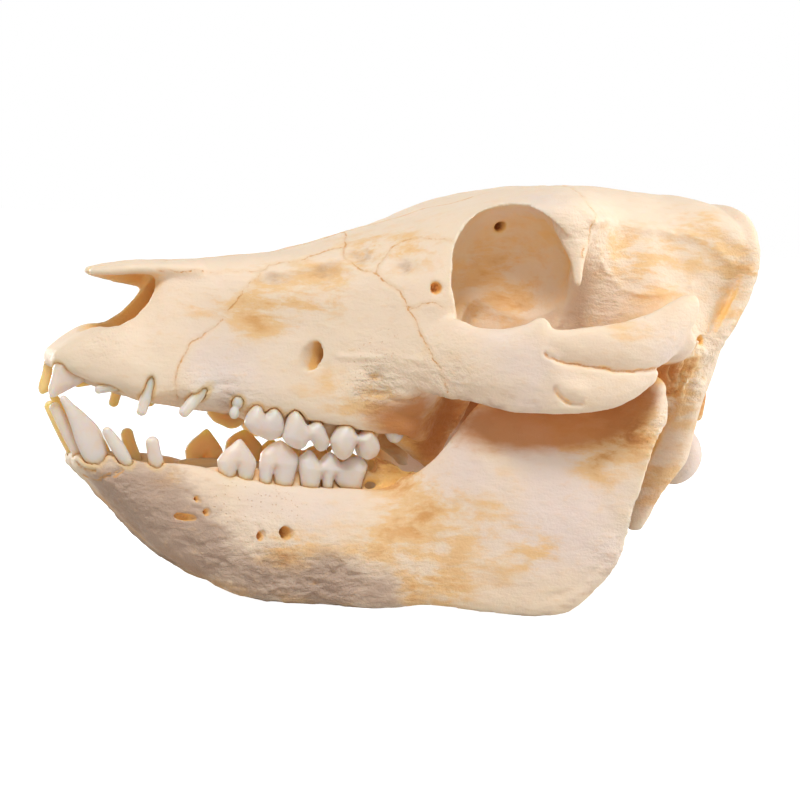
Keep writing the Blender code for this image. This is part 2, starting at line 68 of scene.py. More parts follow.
def layOnRings(bm, cage, around, along):
    # A ball whose circles are laid on a smooth surface through the cage's rings
    cage = np.array(cage, float)
    ball = bmesh.ops.create_uvsphere(bm, u_segments=around, v_segments=along, radius=1)["verts"]
    unit = np.array([tuple(vert.co) for vert in ball])
    down = np.arccos(np.clip(unit[:, 2], -1, 1)) / math.pi
    turn = np.arctan2(unit[:, 1], unit[:, 0]) / math.tau % 1
    rows, count = cage.shape[:2]
    rowAt = down * (rows - 1)
    ringAt = turn * count
    rowFirst = np.minimum(np.floor(rowAt).astype(int), rows - 2)
    ringFirst = np.floor(ringAt).astype(int)
    near = np.arange(-1, 3)
    rowNear = np.clip(rowFirst[:, None] + near, 0, rows - 1)
    ringNear = (ringFirst[:, None] + near) % count
    picked = cage[rowNear[:, :, None], ringNear[:, None, :]]
    weights = curveWeights(rowAt - rowFirst), curveWeights(ringAt - ringFirst)
    placed = np.einsum("na,nb,nabc->nc", *weights, picked)
    # The ball's two poles go to the middle of the first and last rings
    placed[down < 0.1 / along] = cage[0].mean(axis=0)
    placed[down > 1 - 0.1 / along] = cage[-1].mean(axis=0)
    for vert, spot in zip(ball, placed):
        vert.co = spot
    bmesh.ops.recalc_face_normals(bm, faces=list({face for vert in ball for face in vert.link_faces}))


def ovalRing(centre, wide, tall, halfWide, halfTall, points=12):
    turns = np.arange(points) * math.tau / points
    centre, wide, tall = (np.array(v, float) for v in (centre, wide, tall))
    return centre + np.outer(np.cos(turns), wide) * halfWide + np.outer(np.sin(turns), tall) * halfTall


def addRod(bm, rows, wide, tall, around=32, perRow=10):
    cage = [ovalRing(row[:3], wide, tall, row[3], row[4]) for row in rows]
    layOnRings(bm, cage, around, perRow * len(rows))


def addPeg(bm, rows, tall=(0, 1, 0), around=28, steps=40):
    # A rod whose rings stand square to its own path, rounded off at the tip
    share = np.linspace(0, 1, steps)
    fine = smoothPath(rows, steps, np.sin(share * math.pi / 2))
    way = np.gradient(fine[:, :3], axis=0)
    way /= np.linalg.norm(way, axis=1)[:, None]
    left = np.linalg.norm(fine[:, :3] - fine[-1, :3], axis=1) / (0.8 * fine[:, 3:].mean(axis=1) + 0.2)
    blunt = np.sqrt(np.maximum(0.01, 1 - (1 - np.minimum(left, 1)) ** 2))
    cage = []
    for row, along, close in zip(fine, way, blunt):
        across = np.cross(np.array(tall, float), along)
        across /= np.linalg.norm(across)
        cage.append(ovalRing(row[:3], across, np.cross(along, across), row[3] * close, row[4] * close))
    layOnRings(bm, cage, around, steps * 2)


def addEgg(bm, centre, radii, around=40, along=24):
    ball = bmesh.ops.create_uvsphere(bm, u_segments=around, v_segments=along, radius=1)["verts"]
    bmesh.ops.scale(bm, vec=radii, verts=ball)
    bmesh.ops.translate(bm, vec=centre, verts=ball)


def addPassage(bm, rows, around=40, perRow=10):
    # A passage along the midline from rows of x, half width, floor and roof
    cage = [ovalRing((x, 0, (floor + roof) / 2), (0, 1, 0), (0, 0, 1), half, (roof - floor) / 2)
            for x, half, floor, roof in rows]
    layOnRings(bm, cage, around, perRow * len(rows))


def addOtherSide(bm):
    copied = bmesh.ops.duplicate(bm, geom=bm.verts[:] + bm.edges[:] + bm.faces[:])["geom"]
    verts = [part for part in copied if isinstance(part, bmesh.types.BMVert)]
    faces = [part for part in copied if isinstance(part, bmesh.types.BMFace)]
    bmesh.ops.scale(bm, vec=(1, -1, 1), verts=verts)
    bmesh.ops.reverse_faces(bm, faces=faces)


def newPiece(name, bm):
    mesh = bpy.data.meshes.new(name)
    bm.to_mesh(mesh)
    bm.free()
    piece = bpy.data.objects.new(name, mesh)
    bpy.context.scene.collection.objects.link(piece)
    return piece


def keepShape(piece):
    bpy.context.view_layer.update()
    shown = piece.evaluated_get(bpy.context.evaluated_depsgraph_get())
    old = piece.data
    mesh = bpy.data.meshes.new_from_object(shown)
    piece.modifiers.clear()
    piece.data = mesh
    bpy.data.meshes.remove(old)


def fuse(piece, voxel, smooth=3, factor=0.5):
    remesh = piece.modifiers.new("fuse", "REMESH")
    remesh.mode = "VOXEL"
    remesh.voxel_size = voxel
    if smooth:
        soften = piece.modifiers.new("soften", "SMOOTH")
        soften.factor = factor
        soften.iterations = smooth
    keepShape(piece)


def carve(piece, cutter):
    boolean = piece.modifiers.new("carve", "BOOLEAN")
    boolean.operation = "DIFFERENCE"
    boolean.solver = "MANIFOLD"
    boolean.object = cutter
    keepShape(piece)
    bpy.data.objects.remove(cutter)


def thinOut(piece, triangles):
    piece.data.calc_loop_triangles()
    fewer = piece.modifiers.new("fewer faces", "DECIMATE")
    fewer.ratio = min(1, triangles / len(piece.data.loop_triangles))
    fewer.use_collapse_triangulate = True
    keepShape(piece)


def getPoints(piece):
    points = np.empty(len(piece.data.vertices) * 3)
    piece.data.vertices.foreach_get("co", points)
    return points.reshape(-1, 3)


def getNormals(piece):
    normals = np.empty(len(piece.data.vertices) * 3)
    piece.data.vertex_normals.foreach_get("vector", normals)
    return normals.reshape(-1, 3)


def setPoints(piece, points):
    piece.data.vertices.foreach_set("co", np.ascontiguousarray(points).ravel())
    piece.data.update()


def addField(piece, name, values):
    field = piece.data.attributes.new(name, "FLOAT", "POINT")
    field.data.foreach_set("value", np.ascontiguousarray(values, dtype=np.float32))


def toMetres(piece):
    setPoints(piece, (getPoints(piece) - (middleX, 0, 0)) * mm)
    piece.data.polygons.foreach_set("use_smooth", [True] * len(piece.data.polygons))
    piece.data.update()


# Small helpers for surface relief

def cellNoise(cells, seed):
    # A value from -1 to 1 for each whole-number cell, scrambled by large odd factors
    mixed = cells[..., 0] * 374761393 + cells[..., 1] * 668265263 + cells[..., 2] * 1274126177
    mixed = mixed + seed * 974634777
    mixed = (mixed ^ (mixed >> 13)) * 1103515245
    mixed = mixed ^ (mixed >> 16)
    return (mixed & 0xFFFF) / 32767.5 - 1


def softNoise(points, size, seed, stretch=(1, 1, 1)):
    spread = points / (np.array(stretch) * size)
    base = np.floor(spread).astype(np.int64)
    part = spread - base
    part = part**3 * (part * (part * 6 - 15) + 10)
    total = np.zeros(len(points))
    for corner in np.ndindex(2, 2, 2):
        share = np.prod(np.where(corner, part, 1 - part), axis=1)
        total += share * cellNoise(base + corner, seed)
    return total


def layeredNoise(points, size, layers, seed, stretch=(1, 1, 1)):
    total = np.zeros(len(points))
    for layer in range(layers):
        total += softNoise(points + layer * 17.3, size / 2**layer, seed + layer, stretch) * 0.55**layer
    return total


def spotField(points, spots):
    # Soft patches on both sides, from rows of x, distance from the midline, z, radius and strength
    total = np.zeros(len(points))
    side = np.abs(points[:, 1])
    for x, y, z, radius, strength in spots:
        far = (points[:, 0] - x) ** 2 + (side - abs(y)) ** 2 + (points[:, 2] - z) ** 2
        total += strength * np.exp(-far / radius**2)
    return total


def swellField(points, swells):
    # Rows of centre, radii and height: a swelling, or a dent where the height is below zero
    total = np.zeros(len(points))
    both = np.column_stack([points[:, 0], np.abs(points[:, 1]), points[:, 2]])
    for centre, radii, height in swells:
        total += height * np.exp(-(((both - centre) / radii) ** 2).sum(axis=1))
    return total


def treeOf(piece):
    mesh = piece.data
    mesh.calc_loop_triangles()
    corners = np.empty(len(mesh.loop_triangles) * 3, int)
    mesh.loop_triangles.foreach_get("vertices", corners)
    return BVHTree.FromPolygons(getPoints(piece).tolist(), corners.reshape(-1, 3).tolist(), all_triangles=True)


def bell(far, middle, half):
    return np.exp(-(((far - middle) / half) ** 2))


def lineField(piece, tree, lines, wiggle, seed):
    # Distance in mm from each point of the surface to the nearest line, on both sides
    spots = []
    for number, line in enumerate(lines):
        line = np.array(line, float)
        length = np.linalg.norm(np.diff(line, axis=0), axis=1).sum()
        path = smoothPath(line, max(4, int(length / 0.3)))
        for axis in range(3):
            path[:, axis] += wiggle * layeredNoise(path.copy(), 2.6, 2, seed + number * 7 + axis)
        for side in (-1, 1):
            for x, y, z in path:
                near = tree.find_nearest((x, side * abs(y), z), 6)[0]
                if near:
                    spots.append(near)
    finder = kdtree.KDTree(len(spots))
    for number, spot in enumerate(spots):
        finder.insert(spot, number)
    finder.balance()
    return np.array([finder.find(point)[2] for point in getPoints(piece).tolist()])


def shutInField(piece, trees, rays=14, reach=26, lift=0.35):
    # How much of the open side of each point is closed off by bone near it, which the bone's material turns into
    # painted shade
    turn = np.arange(rays) * 2.39996  # the golden angle, which spreads the rays evenly
    high = 1 - (np.arange(rays) + 0.5) / rays * 0.9
    ways = np.column_stack([np.cos(turn) * np.sqrt(1 - high**2), np.sin(turn) * np.sqrt(1 - high**2), high])
    points, normals = getPoints(piece), getNormals(piece)
    lean = np.where(np.abs(normals[:, 2:]) < 0.9, (0, 0, 1), (1, 0, 0))
    side = np.cross(lean, normals)
    side /= np.linalg.norm(side, axis=1)[:, None]
    other = np.cross(normals, side)
    shut = np.zeros(len(points))
    starts = (points + normals * lift).tolist()
    for a, b, c in ways:
        heading = (side * a + other * b + normals * c).tolist()
        for tree in trees:
            cast = tree.ray_cast
            hits = [cast(start, way, reach)[3] for start, way in zip(starts, heading)]
            shut += np.array([0 if far is None else (1 - far / reach) ** 0.5 for far in hits])
    return np.clip(shut / rays, 0, 1)


# Small helpers for materials

def addNode(tree, kind, inputs=None, **settings):
    node = tree.nodes.new(kind)
    for key, value in settings.items():
        setattr(node, key, value)
    for key, value in (inputs or {}).items():
        putIn(tree, node.inputs[key], value)
    return node


def putIn(tree, socket, value):
    if isinstance(value, bpy.types.NodeSocket):
        tree.links.new(value, socket)
    else:
        socket.default_value = value


def blendColours(tree, share, first, second):
    node = addNode(tree, "ShaderNodeMix", {0: share, 6: first, 7: second}, data_type="RGBA")
    return node.outputs[2]


def work(tree, operation, *values):
    return addNode(tree, "ShaderNodeMath", dict(enumerate(values)), operation=operation).outputs[0]


def between(tree, value, low, high, fromLow=0.0, toHigh=1.0):
    inputs = {0: value, 1: low, 2: high, 3: fromLow, 4: toHigh}
    return addNode(tree, "ShaderNodeMapRange", inputs, interpolation_type="SMOOTHSTEP").outputs[0]


def grain(tree, place, size, detail=4.0, roughness=0.55, distortion=0.0):
    inputs = {"Vector": place, "Scale": 1000 / size, "Detail": detail, "Roughness": roughness,
              "Distortion": distortion}
    return addNode(tree, "ShaderNodeTexNoise", inputs).outputs[0]


def pores(tree, place, size):
    return addNode(tree, "ShaderNodeTexVoronoi", {"Vector": place, "Scale": 1000 / size}).outputs[0]


def surfaceField(tree, name):
    return addNode(tree, "ShaderNodeAttribute", attribute_name=name).outputs["Fac"]


def ragged(tree, value, noise, amount):
    # The value made uneven by a noise whose middle is 0.5
    return work(tree, "ADD", value, work(tree, "MULTIPLY_ADD", noise, amount, -amount / 2))


def layColours(tree, tone, layers):
    for share, own in layers:
        tone = blendColours(tree, share, tone, own)
    return tone


def newMaterial(name):
    material = bpy.data.materials.new(name)
    material.use_nodes = True
    tree = material.node_tree
    return material, tree, tree.nodes["Principled BSDF"]


def setShader(tree, shader, look, tone, roughness, height):
    putIn(tree, shader.inputs["Base Color"], tone)
    putIn(tree, shader.inputs["Roughness"], roughness)
    inputs = {"Strength": look["bump"], "Distance": look["bumpDepth"], "Height": height}
    putIn(tree, shader.inputs["Normal"], addNode(tree, "ShaderNodeBump", inputs).outputs[0])
    for key, value in look["sockets"].items():
        shader.inputs[key].default_value = value


def colour(red, green, blue):
    # From screen values of 0 to 255
    values = [channel / 255 for channel in (red, green, blue)]
    return (*[v / 12.92 if v <= 0.04045 else ((v + 0.055) / 1.055) ** 2.4 for v in values], 1)


boneFinish = {
    "cream": colour(244, 221, 195),
    "pale": colour(238, 219, 206),
    # Colours of staining; some staining patches use them as painted shade
    "stainAndShade": colour(240, 200, 148),
    "deepStainAndShade": colour(226, 168, 104),
    "grey": colour(186, 157, 138),
    # A painted glow of warm light on faces turned towards the midline
    "inner": colour(248, 214, 162),
    # Painted shade in recesses, light and warm
    "paintedRecessShade": colour(253, 206, 130),
    # Deep brown, for the heaviest staining and for painted shade under overhangs
    "umber": colour(198, 128, 68),
    "seam": colour(224, 166, 102),
    # Painted shade, dark, deep in holes and narrow gaps
    "paintedHoleShade": colour(176, 86, 38),
    "roughness": 0.55,
    "bump": 0.9, "bumpDepth": 0.0005,
    "sockets": {
        "Subsurface Weight": 0.3, "Subsurface Radius": (1.0, 0.62, 0.38), "Subsurface Scale": 0.004,
        "Specular IOR Level": 0.35,
    },
}


def boneMaterial(name):
    look = boneFinish
    material, tree, shader = newMaterial(name)
    place = addNode(tree, "ShaderNodeTexCoord").outputs["Object"]
    stretch = addNode(tree, "ShaderNodeMapping", {"Vector": place, "Scale": (0.35, 1.0, 1.0)}).outputs[0]
    broad = grain(tree, place, 16, 5)
    middle = grain(tree, place, 5, 4)
    streak = grain(tree, stretch, 1.6, 4)
    fine = grain(tree, place, 0.7, 3)
    drift = grain(tree, stretch, 4.5, 7, 0.66, 0.25)
    pale, rough = surfaceField(tree, "pale"), surfaceField(tree, "rough")
    # The staining field holds real staining and also painted shade, under the cheek arch and below its root
    stainAndShade = work(tree, "MULTIPLY", surfaceField(tree, "stainAndShade"), between(tree, drift, 0.34, 0.66, 0.35, 1.2))
    stainAndShade = work(tree, "ADD", stainAndShade, work(tree, "MULTIPLY_ADD", broad, 1.5, -0.78))
    stainAndShade = ragged(tree, stainAndShade, drift, 1.0)
    # Paler bone; on the condyle this is a painted highlight
    paleness = ragged(tree, pale, broad, -1.2)
    # The grey field is partly painted shade, in dips and on undersides
    greyness = ragged(tree, surfaceField(tree, "grey"), streak, 0.9)
    # How shut in a point is, for painted shade in recesses; pale bone gets less of it
    shut = ragged(tree, surfaceField(tree, "shutIn"), middle, 0.2)
    shut = work(tree, "MULTIPLY_ADD", pale, -0.16, shut)
    rim = ragged(tree, surfaceField(tree, "rim"), middle, 0.8)
    # Faces turned towards the midline, for a painted glow
    inward = work(tree, "MULTIPLY", surfaceField(tree, "inward"), between(tree, shut, 0.02, 0.2))
    # Painted shade under overhangs
    shade = ragged(tree, surfaceField(tree, "shade"), streak, 0.5)
    seam = ragged(tree, surfaceField(tree, "seam"), fine, 0.5)
    line = work(tree, "MULTIPLY", between(tree, seam, 0.4, 0.1), between(tree, middle, 0.4, 0.6, 0.1, 0.9))
    cleft = ragged(tree, surfaceField(tree, "cleft"), fine, 0.5)
    porous = between(tree, ragged(tree, surfaceField(tree, "porous"), middle, 0.8), 0.35, 0.8)
    pore = work(tree, "MULTIPLY", between(tree, pores(tree, place, 1.1), 0.26, 0.1), porous)
    tone = layColours(tree, look["cream"], [
        (between(tree, paleness, 0.1, 0.9), look["pale"]),
        # Layers of staining, which also carry painted shade
        (between(tree, stainAndShade, 0.12, 0.8), look["stainAndShade"]),
        (between(tree, stainAndShade, 0.75, 1.5), look["deepStainAndShade"]),
        (between(tree, stainAndShade, 1.3, 2.2), look["umber"]),
        # Grey, partly painted shade
        (between(tree, greyness, 0.15, 1.0, 0, 0.85), look["grey"]),
        (between(tree, streak, 0.55, 0.8, 0, 0.3), look["stainAndShade"]),
        # Painted light and shade: a warm glow on inward faces, then shade in recesses, under overhangs and deep
        # in holes
        (work(tree, "MULTIPLY", inward, 0.9), look["inner"]),
        (between(tree, shut, 0.14, 0.55, 0, 0.95), look["paintedRecessShade"]),
        (between(tree, shade, 0.1, 1.0, 0, 0.92), look["umber"]),
        (between(tree, shut, 0.72, 0.95, 0, 0.9), look["paintedHoleShade"]),
        # Bone next to a tooth: stained, and partly painted shade at the socket's edge
        (between(tree, rim, 0.15, 0.8, 0, 0.9), look["stainAndShade"]),
        # A seam is a thin dark line down the middle of a wider stained band
        (between(tree, seam, 1.3, 0.2, 0, 0.25), look["stainAndShade"]),
        (line, look["seam"]),
        (between(tree, cleft, 0.6, 0.1, 0, 0.85), look["deepStainAndShade"]),
        (work(tree, "MULTIPLY", pore, 0.35), look["seam"]),
    ])
    roughness = between(tree, middle, 0.3, 0.7, look["roughness"] - 0.08, look["roughness"] + 0.1)
    height = work(tree, "MULTIPLY", fine, work(tree, "MULTIPLY_ADD", rough, 0.9, 0.22))
    streaks = work(tree, "MULTIPLY", streak, work(tree, "MULTIPLY_ADD", rough, 1.9, 0.5))
    height = work(tree, "ADD", height, streaks)
    height = work(tree, "SUBTRACT", height, work(tree, "MULTIPLY", pore, 0.35))
    height = work(tree, "SUBTRACT", height, between(tree, seam, 0.4, 0.05, 0, 0.25))
    setShader(tree, shader, look, tone, roughness, height)
    return material


enamelFinish = {
    "white": colour(232, 220, 213),
    "warm": colour(234, 210, 182),
    # Tint at the neck: partly staining, partly painted shade where the tooth meets the bone
    "stainAndShade": colour(226, 170, 106),
    # A painted glow on faces turned towards the midline, as of light shining through the tooth
    "inner": colour(255, 212, 148),
    "roughness": 0.38,
    "bump": 0.25, "bumpDepth": 0.0002,
    "sockets": {"Subsurface Weight": 0.85, "Subsurface Radius": (1.0, 0.6, 0.3), "Subsurface Scale": 0.006},
}


def enamelMaterial(name):
    look = enamelFinish
    material, tree, shader = newMaterial(name)
    place = addNode(tree, "ShaderNodeTexCoord").outputs["Object"]
    soft = grain(tree, place, 3, 4)
    fine = grain(tree, place, 0.6, 3)
    # The neck, near the bone, warmer and darker: partly staining, partly painted shade where tooth meets bone
    neck = ragged(tree, surfaceField(tree, "neck"), soft, 0.5)
    # Faces turned towards the midline get a painted glow
    inner = ragged(tree, surfaceField(tree, "inner"), soft, 0.3)
    tone = layColours(tree, look["white"], [
        (between(tree, soft, 0.4, 0.75, 0, 0.5), look["warm"]),
        (between(tree, neck, 0.3, 1.0), look["warm"]),
        (between(tree, neck, 0.85, 1.3), look["stainAndShade"]),
        (between(tree, inner, 0.2, 0.8, 0, 0.95), look["inner"]),
    ])
    setShader(tree, shader, look, tone, look["roughness"], fine)
    return material


# Teeth

teeth = {
    "pegs": {  # from the root's end to the tip: x, y, z, half width, half depth
        "upper_incisor_2": [
            (-75.5, 9.8, 56.8, 1.1, 0.9), (-79.4, 10.5, 55.7, 1.5, 1.1), (-82.8, 10.9, 54.8, 1.4, 1),
            (-86, 10.8, 53.7, 1, 0.7),
        ],
        "upper_incisor_3": [
            (-70.2, 12.8, 62, 1, 1), (-71.7, 13.9, 57.4, 1.5, 1.4), (-73, 14.2, 52.6, 1.5, 1.4),
            (-74.1, 14, 47.9, 1.4, 1.35),
        ],
        "upper_canine": [
            (-54.5, 13.8, 59, 1.1, 1.1), (-57.8, 15.6, 55.6, 1.6, 1.5), (-60.8, 16.4, 52.2, 1.6, 1.5),
            (-63.8, 17.1, 48.6, 1.45, 1.4),
        ],
        "lower_incisor_1": [
            (-82, 3.2, 31, 1.2, 1), (-86.6, 3.1, 36, 1.9, 1.4), (-91, 3, 42.6, 1.8, 1.3),
            (-95.2, 2.9, 49.4, 1.4, 1.05),
        ],
        "lower_incisor_2": [
            (-80.6, 7.4, 31.4, 1.3, 1.2), (-83.6, 7.7, 36, 3.2, 1.9), (-86, 7.3, 41.2, 3.7, 1.9),
            (-88.8, 6.7, 45.4, 2.6, 1.6), (-91.6, 6.1, 49, 1.4, 1.2), (-93.6, 5.7, 51.6, 0.9, 0.8),
        ],
        "lower_incisor_3": [
            (-73.8, 10.6, 31.4, 1.1, 1), (-77, 10.7, 36.6, 1.8, 1.5), (-79.8, 10.5, 40.4, 1.75, 1.4),
            (-82.6, 10.3, 44, 1.15, 1),
        ],
        "lower_canine": [
            (-66, 10.6, 28, 1.3, 1.2), (-67.7, 11.6, 34, 2, 1.8), (-69.2, 12.3, 38.4, 1.85, 1.7),
            (-70.3, 12.8, 42.4, 1.75, 1.5),
        ],
    },
    # Centre and radii of each root, and of the lobes of a crown that has no outline below.
    # The empty rows keep the order of the teeth.
    "eggs": {
        "upper_premolar_1": [
            ((-48.2, 16.5, 52.9), (1.7, 1.4, 1.9)), ((-49, 16.8, 50), (1.4, 1.3, 1.7)),
            ((-47.8, 14.8, 55.6), (1.1, 1, 2.8)),
        ],
        "upper_incisor_1": [],
        "upper_premolar_2": [((-43.2, 15.4, 52), (1.3, 1.3, 2.8)), ((-37.8, 15.6, 51.6), (1.3, 1.3, 2.8))],
        "upper_premolar_3": [
            ((-32.6, 16.6, 51.4), (1.7, 1.5, 3.2)), ((-25.8, 16.8, 49.6), (1.7, 1.5, 3.2)),
            ((-24.9, 17.4, 43.8), (1.8, 2, 2.4)),
        ],
        "upper_premolar_4": [
            ((-18.4, 17.2, 42.4), (2.6, 2, 2.9)), ((-12, 17.3, 42), (2.5, 2, 2.7)),
            ((-18.1, 17.8, 49), (1.9, 1.9, 3.2)), ((-11.8, 17.8, 48), (1.9, 1.9, 3.2)),
        ],
        "upper_molar_1": [
            ((-4.4, 19.6, 46.6), (2.4, 2.2, 2.6)), ((-6.1, 19.6, 47.4), (1.4, 1.8, 1.8)),
            ((-2.6, 19.6, 47.9), (1.4, 1.7, 1.8)),
        ],
        "lower_premolar_2": [],
        "lower_premolar_3": [],
        "lower_premolar_4": [((-27, 14.6, 36.6), (1.8, 1.5, 3.2)), ((-21.2, 14.6, 36.4), (1.8, 1.5, 3.2)),
                             ((-14.6, 14.9, 35.8), (2.6, 1.6, 2.8))],
        "lower_molar_1": [((4.6, 19.4, 34), (2.8, 2.2, 2.3))],
    },
    # Outlines seen from the side as x, z, the distance from the midline, and half thickness at each height
    "crowns": {
        "upper_incisor_1": {
            "outline": [
                (-95.7, 60.2), (-96.5, 57), (-97.2, 53.6), (-97, 51.9), (-96.2, 51), (-94.8, 51.5),
                (-91.6, 53.4), (-88.2, 55.4), (-87.2, 56.8), (-86, 59.4), (-83.4, 62), (-86.4, 63.6),
                (-91, 63.6),
            ],
            "middle": 5.6, "halves": [(51, 1), (55, 1.8), (60, 2.2), (63, 1.8)],
        },
        "upper_premolar_2": {
            "outline": [
                (-46.2, 47), (-45.4, 50.2), (-43.6, 52.4), (-42, 52), (-40.7, 50), (-39.2, 51.6), (-37.6, 51.8),
                (-36, 49.8), (-35.2, 47), (-35.3, 45.2), (-37, 43.6), (-39.3, 43.1), (-41.8, 44), (-44.2, 45),
            ],
            "middle": 17.5, "halves": [(43, 1.1), (46, 2.1), (49.5, 2.5), (52.5, 2.2)],
        },
        "upper_premolar_3": {
            "outline": [
                (-35.7, 44), (-35.2, 47), (-34.4, 50), (-32.8, 51.6), (-31, 50.4), (-29.8, 48.4),
                (-28.7, 47.7), (-27.4, 48.6), (-25.9, 49), (-24.4, 47.4), (-23.3, 45.2), (-22.5, 43.4),
                (-23.2, 41.6), (-24.8, 40.8), (-26.2, 41.6), (-27.6, 43.6), (-28.6, 43.4), (-29.2, 42),
                (-30.8, 41.1), (-32.8, 41.6), (-34.6, 42.6),
            ],
            "middle": 18.8, "halves": [(41, 1.2), (44, 2.4), (48, 2.8), (51, 2.4)],
        },
        "upper_premolar_4": {
            "outline": [
                (-22.6, 43.6), (-21.6, 46.4), (-20, 48.4), (-18.1, 49), (-16.4, 47.6), (-15.4, 46),
                (-14.4, 46.2), (-12.8, 47.7), (-11.2, 47.6), (-9.9, 45.8), (-9, 44), (-8.6, 42.4),
                (-9.4, 40.4), (-11, 39.4), (-12.6, 39.4), (-14, 41), (-14.7, 43.2), (-15.4, 43.4),
                (-15.9, 41.6), (-16.9, 39.8), (-18.6, 38.9), (-20.1, 39.4), (-21.5, 41),
            ],
            "middle": 19.8, "halves": [(39, 1.8), (42, 3), (45.5, 3.3), (49, 2.6)],
        },
        "lower_premolar_2": {
            "outline": [
                (-52.4, 36.8), (-50.8, 39.4), (-48.6, 41.4), (-46.5, 43), (-44.6, 41.2), (-42.8, 39),
                (-41.6, 37), (-42, 34.2), (-42.8, 30.6), (-44, 28), (-45.6, 29.4), (-46.4, 33.4),
                (-46.8, 35.8), (-47.2, 33.4), (-47.8, 29.4), (-49.4, 28), (-50.8, 30.6), (-51.8, 34),
            ],
            "middle": 15.4, "halves": [(29, 1.3), (34, 1.8), (37, 2.1), (40, 1.7), (43, 0.9)],
        },
        "lower_premolar_3": {
            "outline": [
                (-40.7, 39.2), (-38.9, 41.4), (-37, 42.6), (-35.4, 43.2), (-33.8, 42.4), (-32, 40.9),
                (-30.1, 38.6), (-30.6, 35.2), (-31.4, 31.4), (-32.8, 28), (-35, 28.4), (-36.2, 32),
                (-36.8, 35.6), (-37.4, 32), (-38, 28.4), (-39.6, 28.2), (-40.4, 31.6), (-40.8, 36),
            ],
            "middle": 16.2, "halves": [(29, 1.5), (34, 2), (37, 2.4), (40, 1.9), (43, 0.9)],
        },
        "lower_premolar_4": {
            "outline": [
                (-30.3, 38.2), (-28.8, 40), (-27.3, 41), (-25.6, 39.8), (-24.3, 38.1), (-23, 39.6),
                (-21.4, 40.7), (-19.8, 39.8), (-18.6, 38.2), (-17.4, 38.2), (-15.6, 39.3), (-13.2, 39.8),
                (-11, 38.3), (-10.6, 36.8), (-11.6, 33.4), (-12, 31), (-13.2, 28), (-16, 28.2), (-17.4, 30.8),
                (-19.1, 32.6), (-19.8, 34.2), (-20.1, 32), (-20.6, 28.2), (-22.2, 28.2), (-22.9, 32),
                (-23.3, 34.5), (-23.8, 32.2), (-24.6, 28.4), (-27.4, 28), (-28.8, 31.6), (-29.7, 35.4),
            ],
            "middle": 16.6, "halves": [(29, 1.6), (33, 2.3), (36, 2.7), (38.5, 2), (41, 0.9)],
        },
    },
    "crownDepth": 3,
    "crownRound": 2.5,  # how far in from its edge a crown is rounded
    "voxel": 0.26,
    "socketGap": 0.16,
    "cryptGap": 1.2,
}


def addCrown(bm, crown, perSpan=6):
    # A slab inside the outline, which roundOff then swells from its edge inwards
    outline, deep = crown["outline"], teeth["crownDepth"]
    looped = outline[-2:] + outline + outline[:3]
    closed = smoothPath(looped, perSpan * (len(looped) - 1))[2 * perSpan:-3 * perSpan]
    corners = [bm.verts.new((x, crown["middle"] - deep, z)) for x, z in closed]
    face = bm.faces.new(corners)
    moved = bmesh.ops.extrude_face_region(bm, geom=[face])["geom"]
    far = [part for part in moved if isinstance(part, bmesh.types.BMVert)]
    bmesh.ops.translate(bm, vec=(0, 2 * deep, 0), verts=far)
    bmesh.ops.triangulate(bm, faces=[part for part in bm.faces if len(part.verts) > 4])
    return closed


def roundOff(tooth, crown, closed):
    points = getPoints(tooth)
    flat = points[:, None, [0, 2]]
    start = closed[None]
    run = np.roll(closed, -1, axis=0)[None] - start
    share = np.clip(((flat - start) * run).sum(axis=2) / (run**2).sum(axis=2), 0, 1)
    inward = np.linalg.norm(flat - start - run * share[..., None], axis=2).min(axis=1)
    heights, halves = np.array(crown["halves"], float).T
    full = np.sqrt(np.maximum(0.1, 1 - (1 - np.minimum(inward / teeth["crownRound"], 1)) ** 2))
    thick = np.interp(points[:, 2], heights, halves) * full / teeth["crownDepth"]
    points[:, 1] = crown["middle"] + (points[:, 1] - crown["middle"]) * thick
    setPoints(tooth, points)


def makeTooth(name, side):
    bm = bmesh.new()
    label = "left" if side < 0 else "right"
    if name in teeth["crowns"]:
        crown = teeth["crowns"][name]
        closed = addCrown(bm, crown)
        tooth = newPiece("crown", bm)
        fuse(tooth, teeth["voxel"], smooth=0)
        roundOff(tooth, crown, closed)
        bm = bmesh.new()
        bm.from_mesh(tooth.data)
        bpy.data.objects.remove(tooth)
    if name in teeth["pegs"]:
        addPeg(bm, teeth["pegs"][name])
    else:
        for centre, radii in teeth["eggs"][name]:
            addEgg(bm, centre, radii, 28, 18)
    bmesh.ops.scale(bm, vec=(1, side, 1), verts=bm.verts[:])
    if side < 0:
        bmesh.ops.reverse_faces(bm, faces=bm.faces[:])
    bmesh.ops.recalc_face_normals(bm, faces=bm.faces[:])
    tooth = newPiece(f"{name}_{label}_crown", bm)
    if name in teeth["eggs"]:
        fuse(tooth, teeth["voxel"])
    return tooth


def teethOf(made, side):
    return [tooth for name, pair in made.items() if name.startswith(side) for tooth in pair]


def socketCutter(made, side):
    # All the sockets of the upper or lower side: its teeth grown a little and run together
    bm = bmesh.new()
    for tooth in teethOf(made, side):
        grown = tooth.copy()
        grown.data = tooth.data.copy()
        gap = teeth["cryptGap"] if "_molar" in tooth.name else teeth["socketGap"]
        setPoints(grown, getPoints(grown) + getNormals(grown) * gap)
        bm.from_mesh(grown.data)
        bpy.data.objects.remove(grown)
    cutter = newPiece("sockets", bm)
    fuse(cutter, voxel=0.4, smooth=1)
    return cutter


# Cranium

